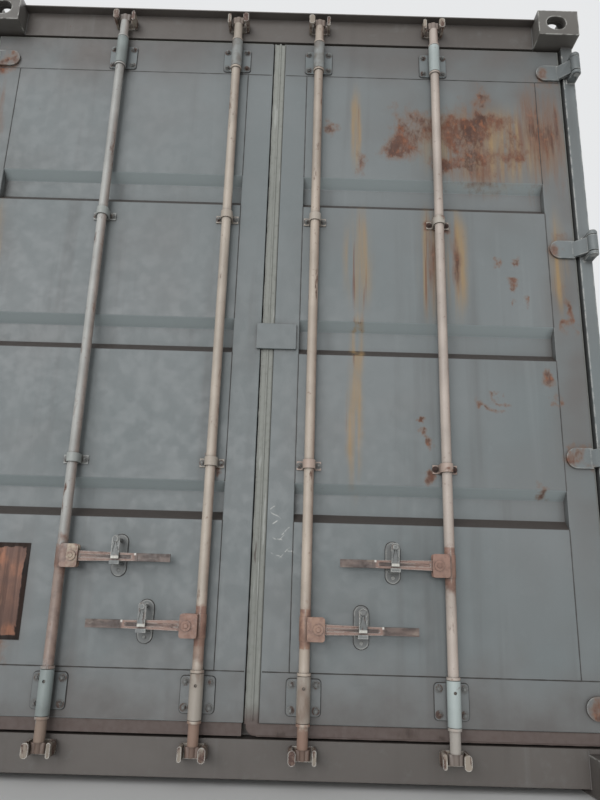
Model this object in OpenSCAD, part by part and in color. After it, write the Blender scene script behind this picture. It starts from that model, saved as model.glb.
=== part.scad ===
// Forty foot high cube shipping container, doors at the low Y end, millimetres.
// X runs across, right when facing the doors. Z is up. The origin is under the middle of the floor plan.

/* [Overall size] */
// Outside length over the corner castings
outer_length = 12192; // [6058:1:12192]
// Outside width over the corner castings
outer_width = 2438; // [2438:1:2500]
// Outside height over the corner castings
outer_height = 2896; // [2438:1:2896]
// How far rails, posts and sheets stay inside the casting faces
face_inset = 4; // [2:0.5:8]
// How far the roof ribs and header stay under the casting tops
roof_inset = 6; // [4:0.5:12]
// How far the front wall stays inside the casting faces
front_inset = 6; // [4:0.5:12]

/* [Corner castings] */
// Length of a casting along the container
casting_l = 178; // [170:1:190]
// Width of a casting across the container
casting_w = 162; // [150:1:170]
// Height of a casting
casting_h = 118; // [110:1:125]
// Thickness of the outer walls of a casting
casting_wall = 28; // [20:1:32]
// Thickness of the inner walls of a casting
casting_inner_wall = 14; // [8:1:20]
// Length of the lock slot in the top or bottom face
lock_slot_l = 124; // [110:1:130]
// Width of every casting hole
hole_w = 63.5; // [55:0.5:68]
// Length of the hole in the end face
end_hole_l = 79; // [70:1:90]
// Length of the hole in the side face
side_hole_l = 101.5; // [90:0.5:110]
// Distance of a slot centre from the end face
slot_end = 103.5; // [95:0.5:110]
// Distance of a slot centre from the side face
slot_side = 89.5; // [80:0.5:95]
// Height of the side and end hole centres from the outer face
hole_depth = 60; // [55:1:64]

/* [Rear frame] */
// Depth of the door face and post face behind the casting end face
door_recess = 78; // [40:1:90]
// Depth of the rear face of the rear post behind the casting end face
post_recess = 70; // [40:1:80]
// Width of the rear post seen from behind
rear_post_w = 47; // [40:1:60]
// Thickness of the outer post plates
post_wall = 6; // [4:0.5:8]
// Thickness of the inner post web
post_web = 12; // [8:1:14]
// Depth of the header along the container
header_d = 100; // [80:1:120]
// Height of the header
header_h = 116; // [100:1:130]
// Thickness of header and sill plates
frame_plate = 5; // [4:0.5:8]
// How far the rain lip of the header reaches out
rain_lip = 38; // [10:1:50]
// Height of the sill bottom
sill_z = 21; // [15:1:30]
// Height of the sill top under the doors
sill_top = 134; // [120:1:140]
// Run of the sill step under the doors
sill_step = 60; // [50:1:80]

/* [Floor and rails] */
// Height of the floor surface
floor_z = 170; // [150:1:180]
// Thickness of the floor boards
floor_t = 28; // [20:1:32]
// Number of floor board rows across
floor_rows = 4; // [2:1:8]
// Gap between floor board rows
board_gap = 4; // [2:0.5:8]
// Bottom of the side rails
rail_z = 16; // [12:1:24]
// Width of the top flange of the bottom side rail
rail_flange = 48; // [40:1:60]
// Width of the bottom flange of the bottom side rail
rail_foot = 30; // [20:1:40]
// Thickness of the bottom side rail
rail_t = 4.5; // [4:0.5:6]
// Size of the top side rail
top_rail = 60; // [50:1:80]
// Wall thickness of the top rails
top_rail_t = 3; // [3:0.5:5]
// How far the top side rails stay under the casting tops
top_rail_drop = 26; // [20:1:36]
// Width of a cross member flange
cross_w = 45; // [40:1:60]
// Thickness of a cross member
cross_t = 4; // [3:0.5:6]
// Spacing of the cross members
cross_pitch = 305; // [250:1:330]
// Distance of the first cross member from the rear castings
cross_start = 120; // [80:1:200]
// Distance of the first short cross member from the tunnel end
outrigger_start = 130; // [80:1:200]
// Clear width of the gooseneck tunnel
tunnel_w = 1029; // [1029:1:1130]
// Length of the gooseneck tunnel
tunnel_l = 3350; // [3100:1:3500]
// Clear height of the gooseneck tunnel
tunnel_h = 122; // [115:1:126]
// Thickness of the tunnel plates
tunnel_t = 6; // [4:0.5:8]

/* [Walls and roof] */
// How far the side sheets stay inside the rail faces
side_recess = 1.4; // [1:0.1:4]
// Thickness of the side sheets
side_t = 1.6; // [1.6:0.1:2]
// Depth of the side corrugations
side_depth = 36; // [30:1:40]
// Flat run of a side corrugation, outside and inside
side_flat = 72; // [60:1:80]
// Slope run of a side corrugation
side_slope = 67; // [50:1:80]
// Thickness of the front sheet
front_t = 2; // [1.6:0.1:3]
// Depth of the front corrugations
front_depth = 45.6; // [30:0.1:50]
// Flat run of a front corrugation
front_flat = 104; // [80:1:120]
// Slope run of a front corrugation
front_slope = 21; // [15:1:40]
// Width of a front post
front_post_w = 48; // [40:1:80]
// Depth of the front rails
front_rail_d = 60; // [50:1:80]
// Thickness of the roof sheet
roof_t = 2; // [1.6:0.1:3]
// Spacing of the roof ribs
rib_pitch = 209; // [180:1:230]
// Width of a roof rib at its foot
rib_foot = 118; // [90:1:130]
// Width of a roof rib at its top
rib_top = 82; // [50:1:90]
// Flat margin of the roof at each side
roof_margin = 110; // [60:1:200]
// Height of a ventilator
vent_h = 200; // [100:1:260]
// Width of a ventilator
vent_w = 60; // [40:1:66]
// Thickness of a ventilator
vent_t = 22; // [10:1:28]
// Corrugations between a ventilator and the end of its side wall
vent_bays = 2.5; // [0.5:1:5.5]

/* [Door leaves] */
// Thickness of a door leaf
leaf_t = 50; // [40:1:60]
// Distance of the hinge side of a leaf from the container side
leaf_inset = 65; // [60:1:80]
// Distance of the free edge of the right leaf from the middle
right_free = 30; // [20:1:40]
// Distance of the free edge of the left leaf from the middle
left_free = 24; // [20:1:30]
// How far the face of the left leaf reaches past its free edge
left_lip = 5; // [2:0.5:8]
// Thickness of that lip
left_lip_t = 10; // [4:0.5:12]
// Height of the leaves above the floor
leaf_lift = 10; // [6:1:20]
// Gap between the leaves and the header
leaf_gap = 12; // [8:1:20]
// Inner edge of the middle stile, from the middle
stile_in = 120; // [100:1:130]
// Width of the hinge stile
hinge_stile = 102; // [80:1:120]
// Height of the bottom rail of a leaf
low_rail_h = 150; // [120:1:180]
// Height of the top rail of a leaf
high_rail_h = 154; // [120:1:180]
// Thickness of the door panel sheet
panel_t = 2; // [1.6:0.1:3]
// Height of the top edge of the lowest groove
groove_z = 936; // [900:1:960]
// Spacing of the door grooves
groove_pitch = 600; // [550:1:650]
// Number of door grooves
groove_count = 3; // [1:1:4]
// Height of a groove
groove_h = 132; // [100:1:140]
// Height of the lower slope of a groove
groove_foot = 30; // [15:1:40]
// Height of the upper slope of a groove
groove_slope = 32; // [15:1:40]
// Depth of a groove
groove_depth = 36; // [20:1:40]
// Gap between the seal strips and the sill
seal_gap = 7; // [5:0.5:10]
// How far the seal stands out at the hinge side and top
seal_lip = 6; // [3:0.5:8]
// How far the seal of the right leaf passes the middle line
seal_cross = 12; // [4:0.5:12]
// Depth of the seal face behind the leaf face
seal_inset = 6; // [2:0.5:10]
// Thickness of the seal
seal_t = 24; // [15:1:30]
// Radius of the lower corner of the seal
seal_r = 30; // [15:1:35]

/* [Hinges] */
// Distance of the hinge axis from the container side
hinge_inset = 20; // [19:0.5:24]
// Depth of the hinge axis behind the casting end face
hinge_depth = 20; // [19:0.5:24]
// Radius of knuckles and lugs
knuckle_r = 18; // [15:0.5:19]
// Radius of a hinge pin
pin_r = 10; // [8:0.5:12]
// Number of hinges on a leaf
hinge_count = 4; // [3:1:5]
// Height of the lowest hinge above the leaf bottom
hinge_rise = 70; // [55:1:120]
// Distance of the highest hinge below the leaf top
hinge_drop = 112; // [80:1:140]
// Height of a knuckle
knuckle_h = 62; // [50:1:80]
// Height of a hinge lug
lug_h = 14; // [10:1:20]
// Gap between knuckle and lug
lug_gap = 2.5; // [1:0.5:4]
// Height of a hinge blade
blade_h = 72; // [50:1:80]
// Length of a blade on the leaf
blade_l = 96; // [80:1:110]
// Distance of the bend of a blade from the leaf edge
blade_bend = 4.5; // [2:0.5:8]
// Thickness of a blade
blade_t = 10; // [8:0.5:14]
// Thickness of the slanted arm of a blade
arm_t = 12; // [8:0.5:14]
// Radius of a pin head
pin_head_r = 14; // [12:0.5:17]
// Thickness of a pin head
pin_head_t = 4; // [2:0.5:8]
// Running clearance around pins and rods
run_gap = 0.1; // [0.05:0.05:0.5]

/* [Locking gear] */
// Distance of the inner lock rods from the middle
rod_in = 167; // [150:1:200]
// Distance of the outer lock rods from the middle
rod_out = 635; // [600:1:700]
// Depth of the rod axis behind the casting end face
rod_depth = 40; // [36:1:50]
// Radius of a lock rod
rod_r = 17; // [15:0.5:20]
// Radius of the bore of sleeves and straps
sleeve_bore = 18; // [17.5:0.1:20]
// Outer radius of sleeves and straps
sleeve_r = 21.5; // [20:0.5:26]
// Height of the lower sleeve above the leaf bottom
low_sleeve_gap = 12; // [8:1:40]
// Length of the lower sleeve
low_sleeve_h = 133; // [100:1:150]
// Distance of the upper sleeve below the leaf top
high_sleeve_gap = 30; // [8:1:40]
// Length of the upper sleeve
high_sleeve_h = 125; // [100:1:150]
// Half width of a sleeve foot plate
foot_half = 54; // [40:1:60]
// Height of a sleeve foot plate
foot_h = 108; // [80:1:130]
// Thickness of foot plates
foot_t = 5; // [4:0.5:8]
// Corner radius of a sleeve foot plate
foot_r = 12; // [4:1:20]
// Half width of the block between sleeve and foot plate
foot_web = 14; // [8:1:17]
// Radius of the grease hole in a lower sleeve
grease_r = 5; // [3:0.5:8]
// Height of the grease hole below the sleeve top
grease_drop = 34; // [20:1:60]
// Height of the lower strap
low_strap_z = 996; // [950:1:1050]
// Height of the upper strap
high_strap_z = 1936; // [1900:1:2000]
// Height of a strap
strap_h = 30; // [20:1:40]
// Half width of a strap foot
strap_half = 42; // [34:1:50]
// Radius of a collar on a rod
collar_r = 21.5; // [19:0.5:26]
// Height of a collar
collar_h = 8; // [5:0.5:14]
// Gap between collar and sleeve
collar_gap = 2; // [1:0.5:4]
// Distance of the lower cam centres below the sill top
cam_drop = 32; // [26:1:40]
// Height of a cam
cam_h = 30; // [20:1:36]
// Radius of the middle of a cam
cam_hub_r = 13; // [10:0.5:17]
// Reach of a cam ear from the rod axis
cam_reach = 24; // [22:0.5:26]
// Half thickness of a cam ear
cam_half = 9; // [6:0.5:12]
// Inner distance of the keeper lugs from the rod axis
keeper_in = 30; // [29:0.5:40]
// Thickness of a keeper lug
keeper_t = 13; // [8:0.5:16]
// Height of a keeper
keeper_h = 44; // [36:1:60]
// Radius of the rounding of a keeper
keeper_r = 11; // [4:0.5:14]
// How far the lower keepers sit below the cam centres
keeper_drop = 4; // [0:0.5:8]
// Inner reach of the keeper lip from the rod axis
lip_x = 20; // [16:0.5:26]
// Gap from the rod axis to the keeper lip
lip_gap = 21; // [20:0.5:24]
// Thickness of the keeper lip and base
lip_t = 8; // [6:0.5:12]

/* [Handles] */
// Height of the outer, upper handles
handle_high_z = 672; // [640:1:700]
// Height of the inner, lower handles
handle_low_z = 466; // [440:1:500]
// Distance of the handle pin from the rod axis
hub_reach = 41; // [38:1:50]
// Depth of the handle middle plane behind the casting end face
handle_depth = 21; // [18:0.5:26]
// Thickness of a handle
handle_t = 11; // [8:0.5:14]
// Radius of the eye of a handle
eye_r = 16.5; // [12:0.5:20]
// Radius of a handle rivet
rivet_r = 6; // [4:0.5:8]
// Radius of the head of a handle rivet
rivet_head_r = 16; // [10:0.5:18]
// Thickness of the head of a handle rivet
rivet_head_t = 4; // [2:0.5:6]
// Half height of the handle bar at the hub
bar_half_in = 16.5; // [12:0.5:18]
// Half height of the handle bar at the grip
bar_half_out = 12; // [8:0.5:14]
// Start of the grip from the rod axis
grip_start = 245; // [220:1:260]
// Reach of the handle from the rod axis
handle_reach = 360; // [330:1:380]
// Half height of the grip
grip_half = 13; // [8:0.5:15]
// How far the bar of a handle laps over its grip
grip_lap = 10; // [6:0.5:16]
// Thickness of the grip
grip_t = 8; // [5:0.5:12]
// Depth of the pressed groove in a handle
press_depth = 3; // [1:0.5:5]
// Half height of the pressed groove
press_half = 5; // [3:0.5:8]
// Distance of the pressed groove from eye and grip
press_end = 10; // [6:0.5:16]
// Thickness of a fork plate
fork_t = 5; // [4:0.5:8]
// Gap between fork plate and handle
fork_gap = 4; // [1:0.5:5]
// Half height of the handle hub
hub_half = 37; // [20:0.5:40]
// Distance of the near side of the fork plates from the rod axis
fork_from = 6; // [0:1:10]
// Reach of the fork plates from the rod axis
fork_reach = 62; // [56:1:70]
// Corner radius of the fork plates
fork_r = 9; // [4:1:16]
// Gap between the fork web and the eye of the handle
web_gap = 5; // [5:0.5:8]
// Radius of the handle hub around the rod
hub_r = 19; // [18:0.5:26]
// Distance of the retainers from the rod axis
retainer_reach = 182; // [160:1:200]
// Half width of a retainer plate
retainer_half = 24; // [20:1:36]
// Height of a retainer plate
retainer_h = 134; // [120:1:160]
// How far the middle of a retainer plate sits above the handle
retainer_lift = 7; // [0:1:12]
// Thickness of a retainer plate
retainer_t = 4; // [3:0.5:6]
// Half width of the retainer hook
hook_half = 16; // [10:1:24]
// Thickness of the retainer hook
hook_t = 5; // [4:0.5:8]
// Clearance between the hook and the handle
hook_gap = 5; // [5:0.5:8]
// Height of the front lip of the hook
hook_lip = 12; // [8:1:20]
// Height of the catch pivot above the handle
catch_z = 55; // [50:1:60]
// Radius of the catch pivot
catch_pin_r = 6; // [4:0.5:8]
// Half width of a catch
catch_half = 13; // [8:0.5:16]
// Length of a catch below its pivot
catch_l = 61; // [36:1:62]
// Thickness of a catch
catch_t = 4; // [3:0.5:5]
// Gap between the catch and the handle
catch_gap = 5; // [5:0.5:8]

/* [Plates] */
// Left end of the overlap plate from the middle
overlap_from = -34; // [-60:1:-25]
// Right end of the overlap plate from the middle
overlap_to = 109; // [60:1:119]
// Bottom of the overlap plate
overlap_z = 1419; // [1300:1:1500]
// Height of the overlap plate
overlap_h = 97; // [60:1:120]
// Thickness of the overlap plate
overlap_t = 6; // [4:0.5:8]
// Gap between the overlap plate and the left leaf
overlap_gap = 5; // [5:0.5:8]
// Distance of the data plate from the hinge stile
data_inset = 70; // [40:1:120]
// Width of the data plate
data_w = 230; // [200:1:260]
// Bottom of the data plate
data_z = 405; // [380:1:450]
// Height of the data plate
data_h = 305; // [250:1:320]
// Thickness of the data plate
data_t = 2; // [1:0.5:3]

/* [Hidden] */
$fn = 48;
eps = 1;
half_l = outer_length / 2;
half_w = outer_width / 2;
side_x = half_w - face_inset;
front_y = half_l - front_inset;
end_y = -half_l;
door_y = end_y + door_recess;
post_y = end_y + post_recess;
inner_y = end_y + casting_l;
rod_y = end_y + rod_depth;
hinge_y = end_y + hinge_depth;
handle_y = end_y + handle_depth;
casting_in = half_w - casting_w;
bay_l = outer_length - 2 * casting_l;
bay_y = half_l - casting_l;
top_casting_z = outer_height - casting_h;
top_rail_z = outer_height - top_rail_drop;
crest_z = outer_height - roof_inset;
header_z = crest_z - header_h;
post_x = side_x - rear_post_w;
slot_x = half_w - slot_side;
slot_y = half_l - slot_end;
hole_r = hole_w / 2;
web_x = side_x - rail_t;
cross_z = rail_z + rail_t;
cross_top = floor_z - floor_t;
cross_first = inner_y + cross_start;
tunnel_y = half_l - tunnel_l;
outrigger_first = tunnel_y + outrigger_start;
cross_count = floor((tunnel_y - cross_first - cross_w) / cross_pitch) + 1;
outrigger_count = floor((bay_y - outrigger_first) / cross_pitch) + 1;
tunnel_out = tunnel_w / 2 + tunnel_t;
side_pitch = 2 * (side_flat + side_slope);
side_count = floor(bay_l / side_pitch);
side_out = side_x - side_recess;
front_pitch = 2 * (front_flat + front_slope);
front_full = 2 * (side_x - front_post_w);
front_count = floor(front_full / front_pitch);
rib_count = floor((bay_l - 2 * rib_foot) / rib_pitch) + 1;
leaf_outer = half_w - leaf_inset;
leaf_bottom = floor_z + leaf_lift;
leaf_top = header_z - leaf_gap;
stile_out = leaf_outer - hinge_stile;
leaf_rail_low = leaf_bottom + low_rail_h;
leaf_rail_high = leaf_top - high_rail_h;
seal_bottom = sill_top + seal_gap;
hinge_x = half_w - hinge_inset;
hinge_z = leaf_bottom + hinge_rise;
hinge_pitch = (leaf_top - hinge_drop - hinge_z) / (hinge_count - 1);
blade_x = leaf_outer - blade_l;
low_sleeve_z = leaf_bottom + low_sleeve_gap;
high_sleeve_z = leaf_top - high_sleeve_gap - high_sleeve_h;
cam_low_z = sill_top - cam_drop;
cam_high_z = header_z + header_h / 2;
data_far = stile_out - data_inset;
lug_reach = knuckle_h / 2 + lug_gap;
fork_out = handle_t / 2 + fork_gap;
catch_y = handle_y - handle_t / 2 - catch_gap - catch_t;
bar_run = grip_start + grip_lap - hub_reach;
hook_run = retainer_reach - hook_half - hub_reach;
bar_half_hook = bar_half_in - (bar_half_in - bar_half_out) * hook_run / bar_run;
hook_floor = -bar_half_hook - hook_gap;

// A box given by its low and high corners.
module box(low, high) {
    translate(low) cube(high - low);
}

// Both sides of the container, the second as a mirror image.
module both_sides() {
    children();
    mirror([1, 0, 0]) children();
}

// A stadium bar of length l and radius r, extruded by h along Z and centred.
module stadium(l, r, h) {
    linear_extrude(height = h, center = true) {
        square([l - 2 * r, 2 * r], center = true);
        translate([l / 2 - r, 0]) circle(r = r);
        translate([r - l / 2, 0]) circle(r = r);
    }
}

// A plate w wide and h high with round corners, flat and centred.
module round_plate(w, h, r) {
    square([w - 2 * r, h], center = true);
    square([w, h - 2 * r], center = true);
    for (x = [r - w / 2, w / 2 - r], y = [r - h / 2, h / 2 - r]) translate([x, y]) circle(r = r);
}

// One casting at the right rear corner, with its slot at the bottom.
module casting() {
    difference() {
        box([casting_in, end_y, 0], [half_w, inner_y, casting_h]);
        box([casting_in + casting_inner_wall, end_y + casting_wall, casting_wall],
            [half_w - casting_wall, inner_y - casting_inner_wall, casting_h - casting_inner_wall]);
        translate([slot_x, -slot_y, casting_wall / 2])
            rotate([0, 0, 90]) stadium(lock_slot_l, hole_r, casting_wall + 2 * eps);
        translate([slot_x, end_y + casting_wall / 2, hole_depth])
            rotate([90, 0, 0]) stadium(end_hole_l, hole_r, casting_wall + 2 * eps);
        translate([half_w - casting_wall / 2, -slot_y, hole_depth])
            rotate([90, 0, 90]) stadium(side_hole_l, hole_r, casting_wall + 2 * eps);
    }
}

module four_castings() {
    both_sides() {
        casting();
        translate([0, 0, outer_height]) mirror([0, 0, 1]) casting();
    }
}

module rear_corner_castings() color("slategray") four_castings();

module front_corner_castings() color("slategray") mirror([0, 1, 0]) four_castings();

// Height of each hinge in turn.
module each_hinge() {
    for (i = [0:hinge_count - 1]) translate([0, 0, hinge_z + i * hinge_pitch]) children();
}

module lug(z) {
    difference() {
        union() {
            box([hinge_x - knuckle_r, hinge_y, z], [side_x, post_y, z + lug_h]);
            translate([hinge_x, hinge_y, z]) cylinder(r = knuckle_r, h = lug_h);
        }
        translate([hinge_x, hinge_y, z - eps]) cylinder(r = pin_r + run_gap / 2, h = lug_h + 2 * eps);
    }
}

module rear_posts() color("slategray") both_sides() {
    difference() {
        box([post_x, post_y, casting_h], [side_x, inner_y, top_casting_z]);
        box([post_x + post_web, post_y + post_wall, casting_h - eps],
            [side_x - post_wall, inner_y - post_wall, top_casting_z + eps]);
    }
    each_hinge() {
        lug(lug_reach);
        lug(-lug_reach - lug_h);
    }
}

module hinge_pins() color("silver") both_sides() {
    each_hinge() translate([hinge_x, hinge_y, 0]) {
        translate([0, 0, -lug_reach - lug_h]) cylinder(r = pin_r, h = 2 * (lug_reach + lug_h));
        translate([0, 0, lug_reach + lug_h]) cylinder(r = pin_head_r, h = pin_head_t);
    }
}

module front_posts() color("slategray") both_sides() {
    difference() {
        box([side_x - front_post_w, bay_y, casting_h], [side_x, front_y, top_casting_z]);
        box([side_x - front_post_w + post_wall, bay_y + post_wall, casting_h - eps],
            [side_x - post_wall, front_y - post_wall, top_casting_z + eps]);
    }
}

module door_header() color("slategray") {
    difference() {
        box([-casting_in, door_y, header_z], [casting_in, door_y + header_d, crest_z]);
        box([-casting_in - eps, door_y + frame_plate, header_z + frame_plate],
            [casting_in + eps, door_y + header_d - frame_plate, crest_z - frame_plate]);
    }
    box([-casting_in, door_y - rain_lip, crest_z - frame_plate], [casting_in, door_y, crest_z]);
}

module sill_shape(w) {
    polygon([[door_y + w, sill_z + w], [inner_y - w, sill_z + w], [inner_y - w, floor_z - w],
        [door_y + sill_step + w, floor_z - w], [door_y + sill_step + w, sill_top - w],
        [door_y + w, sill_top - w]]);
}

module door_sill() color("slategray") {
    translate([-casting_in, 0, 0]) rotate([90, 0, 90]) linear_extrude(height = 2 * casting_in) {
        difference() {
            sill_shape(0);
            sill_shape(frame_plate);
        }
    }
    both_sides() {
        box([casting_in, door_y, casting_h], [post_x, door_y + sill_step, sill_top]);
        box([casting_in, door_y + sill_step, casting_h], [post_x, inner_y, floor_z]);
    }
}

module front_top_rail() color("slategray") {
    difference() {
        box([-casting_in, front_y - front_rail_d, top_casting_z], [casting_in, front_y, top_rail_z]);
        box([-casting_in - eps, front_y - front_rail_d + top_rail_t, top_casting_z + top_rail_t],
            [casting_in + eps, front_y - top_rail_t, top_rail_z - top_rail_t]);
    }
}

module front_bottom_rail() color("slategray") {
    difference() {
        box([-casting_in, front_y - front_rail_d, rail_z], [casting_in, front_y, floor_z]);
        box([-casting_in - eps, front_y - front_rail_d - eps, rail_z + frame_plate],
            [casting_in + eps, front_y - frame_plate, floor_z - frame_plate]);
        box([-tunnel_out, front_y - front_rail_d - eps, rail_z - eps],
            [tunnel_out, front_y + eps, tunnel_h + tunnel_t]);
    }
    both_sides() {
        box([casting_in, front_y - frame_plate, casting_h], [side_x - front_post_w, front_y, floor_z]);
        box([casting_in, front_y - front_rail_d, floor_z - frame_plate],
            [side_x - front_post_w, front_y - frame_plate, floor_z]);
    }
}

module top_side_rails() color("slategray") both_sides() {
    difference() {
        box([side_x - top_rail, -bay_y, top_rail_z - top_rail], [side_x, bay_y, top_rail_z]);
        box([side_x - top_rail + top_rail_t, -bay_y - eps, top_rail_z - top_rail + top_rail_t],
            [side_x - top_rail_t, bay_y + eps, top_rail_z - top_rail_t]);
    }
}

module bottom_side_rails() color("slategray") both_sides() {
    box([web_x, -bay_y, rail_z], [side_x, bay_y, floor_z]);
    box([side_x - rail_flange, -bay_y, floor_z - rail_t], [web_x, bay_y, floor_z]);
    box([side_x - rail_foot, -bay_y, rail_z], [web_x, bay_y, rail_z + rail_t]);
}

// One face of a corrugated sheet as a run of points, out being the crest.
function corrugation(n, flat, slope, out, deep) = [for (i = [0:n - 1], k = [0:3])
    let (at = i * 2 * (flat + slope) + flat / 2 + [0, slope, flat + slope, flat + 2 * slope][k])
    [at, k == 0 || k == 3 ? out : out - deep]];

function back_to_front(list) = [for (i = [len(list) - 1:-1:0]) list[i]];

// The unit vector square to the run from a to b, on its left.
function left_of(a, b) = [a[1] - b[1], b[0] - a[0]] / norm(b - a);

// A run of points moved to its left by t, so that the sheet between the two is as thick on its slopes.
function moved(line, t) = [for (i = [0:len(line) - 1])
    let (last = len(line) - 1,
        m = left_of(line[max(i - 1, 0)], line[max(i, 1)]),
        n = left_of(line[min(i, last - 1)], line[min(i + 1, last)]))
    line[i] + t * (m + n) / (1 + m * n)];

// A corrugated sheet lying along X with its crests towards Y, run long in all, full long with its ends.
module sheet_shape(n, flat, slope, deep, t, full) {
    run = n * 2 * (flat + slope);
    edge = (full - run) / 2;
    line = corrugation(n, flat, slope, 0, deep);
    outside = concat([[-edge, 0]], line, [[run, 0], [run + edge, 0]]);
    translate([-run / 2, 0]) polygon(concat(outside, back_to_front(moved(outside, -t))));
}

module side_walls() color("slategray") both_sides() {
    translate([side_out, 0, floor_z]) rotate([0, 0, -90])
        linear_extrude(height = top_rail_z - top_rail - floor_z)
            sheet_shape(side_count, side_flat, side_slope, side_depth, side_t, bay_l);
}

module front_wall() color("slategray") {
    translate([0, front_y, floor_z]) linear_extrude(height = top_casting_z - floor_z)
        sheet_shape(front_count, front_flat, front_slope, front_depth, front_t, front_full);
}

// One raised rib of the roof, hollow below.
module rib_shape(t) {
    h = crest_z - top_rail_z - roof_t;
    polygon([[-rib_foot / 2 + t, -roof_t - eps], [-rib_foot / 2 + t, 0], [-rib_top / 2 + t, h - t],
        [rib_top / 2 - t, h - t], [rib_foot / 2 - t, 0], [rib_foot / 2 - t, -roof_t - eps]]);
}

module each_rib() {
    for (i = [0:rib_count - 1]) {
        translate([0, (i - (rib_count - 1) / 2) * rib_pitch, top_rail_z + roof_t])
            rotate([90, 0, 90]) children();
    }
}

module roof() color("slategray") {
    rib_half = side_x - roof_margin;
    difference() {
        union() {
            box([-side_x, -bay_y, top_rail_z], [side_x, bay_y, top_rail_z + roof_t]);
            box([-casting_in, bay_y, top_rail_z], [casting_in, front_y, top_rail_z + roof_t]);
            each_rib() linear_extrude(height = 2 * rib_half, center = true) intersection() {
                rib_shape(0);
                translate([-rib_foot, -roof_t / 2]) square([2 * rib_foot, 2 * rib_foot]);
            }
        }
        each_rib() linear_extrude(height = 2 * (rib_half - roof_t), center = true) rib_shape(roof_t);
    }
}

module floor_boards() color("peru") {
    inside = 2 * (side_x - rail_flange) - board_gap;
    row = (inside - (floor_rows - 1) * board_gap) / floor_rows;
    for (i = [0:floor_rows - 1]) {
        translate([-inside / 2 + i * (row + board_gap), inner_y, cross_top])
            cube([row, front_y - front_rail_d - inner_y, floor_t]);
    }
}

// A channel standing on its web, open towards the doors, from x1 to x2.
module cross_member(x1, x2) {
    box([x1, 0, cross_z], [x2, cross_t, cross_top]);
    box([x1, -cross_w + cross_t, cross_z], [x2, 0, cross_z + cross_t]);
    box([x1, -cross_w + cross_t, cross_top - cross_t], [x2, 0, cross_top]);
}

module cross_members() color("dimgray") {
    for (i = [0:cross_count - 1]) {
        translate([0, cross_first + i * cross_pitch, 0]) cross_member(-web_x, web_x);
    }
    both_sides() {
        for (i = [0:outrigger_count - 1]) {
            translate([0, outrigger_first + i * cross_pitch, 0]) cross_member(tunnel_out, web_x);
        }
    }
}

module gooseneck_tunnel() color("dimgray") {
    box([-tunnel_out, tunnel_y, tunnel_h], [tunnel_out, front_y, tunnel_h + tunnel_t]);
    both_sides() {
        box([tunnel_w / 2, tunnel_y, rail_z], [tunnel_out, front_y, tunnel_h]);
        box([tunnel_w / 4, tunnel_y, tunnel_h + tunnel_t],
            [tunnel_w / 4 + cross_w, front_y - front_rail_d, cross_top]);
    }
    box([-tunnel_w / 2, tunnel_y, rail_z], [tunnel_w / 2, tunnel_y + tunnel_t, tunnel_h]);
}

// A lug of a keeper with a round outline, from x1 to x2 and from the base to front.
module keeper_lug(x1, x2, front) {
    base = door_y - lip_t;
    translate([(x1 + x2) / 2, base, 0]) rotate([90, 0, 0]) linear_extrude(height = base - front)
        round_plate(x2 - x1, keeper_h, min(keeper_r, (x2 - x1 - eps) / 2));
}

// A keeper for one cam. The rod axis is at x = 0 and the hooked lug is on the low x side.
module keeper(z) {
    outer = keeper_in + keeper_t;
    translate([0, 0, z]) {
        translate([0, door_y, 0]) rotate([90, 0, 0])
            linear_extrude(height = lip_t) round_plate(2 * outer, keeper_h, keeper_r);
        keeper_lug(keeper_in, outer, rod_y - lip_gap);
        difference() {
            keeper_lug(-outer, -lip_x, rod_y - lip_gap - lip_t);
            box([-keeper_in, rod_y - lip_gap, -keeper_h], [0, door_y - lip_t + eps, keeper_h]);
        }
    }
}

module keeper_pair() {
    keeper(cam_high_z);
    keeper(cam_low_z - keeper_drop);
}

module cam_keepers() color("rosybrown") {
    translate([-rod_out, 0, 0]) keeper_pair();
    translate([-rod_in, 0, 0]) mirror([1, 0, 0]) keeper_pair();
    translate([rod_in, 0, 0]) keeper_pair();
    translate([rod_out, 0, 0]) mirror([1, 0, 0]) keeper_pair();
}

module vents() color("gainsboro") both_sides() {
    for (end = [-1, 1]) {
        translate([side_out - side_depth, end * side_pitch * (side_count / 2 - vent_bays), 0])
            box([0, -vent_w / 2, top_rail_z - top_rail - 2 * vent_h],
                [vent_t, vent_w / 2, top_rail_z - top_rail - vent_h]);
    }
}

// A leaf frame of stiles and rails, for the right side.
module leaf_frame(free) {
    difference() {
        box([free, door_y, leaf_bottom], [leaf_outer, door_y + leaf_t, leaf_top]);
        box([stile_in, door_y - eps, leaf_rail_low], [stile_out, door_y + leaf_t + eps, leaf_rail_high]);
    }
}

function groove_line(y) = [for (i = [0:groove_count - 1], k = [0:3])
    let (top = groove_z + i * groove_pitch,
        z = top - groove_h + [0, groove_foot, groove_h - groove_slope, groove_h][k])
    [k == 0 || k == 3 ? y : y + groove_depth, z]];

module leaf_panel() {
    face = concat([[door_y, leaf_rail_low]], groove_line(door_y), [[door_y, leaf_rail_high]]);
    translate([stile_in, 0, 0]) rotate([90, 0, 90]) linear_extrude(height = stile_out - stile_in)
        polygon(concat(face, back_to_front(moved(face, -panel_t))));
}

// The seal around a leaf, laid in X and Z, for the right side.
module seal(free, reach, r) {
    translate([0, door_y + seal_inset + seal_t, 0]) rotate([90, 0, 0])
        linear_extrude(height = seal_t) difference() {
            union() {
                translate([reach + r, seal_bottom])
                    square([leaf_outer + seal_lip - reach - r, leaf_top + seal_lip - seal_bottom]);
                translate([reach, seal_bottom + r])
                    square([r + eps, leaf_top + seal_lip - seal_bottom - r]);
                translate([reach + r, seal_bottom + r]) circle(r = r);
            }
            translate([free, leaf_bottom]) square([leaf_outer - free, leaf_top - leaf_bottom]);
        }
}

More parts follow.
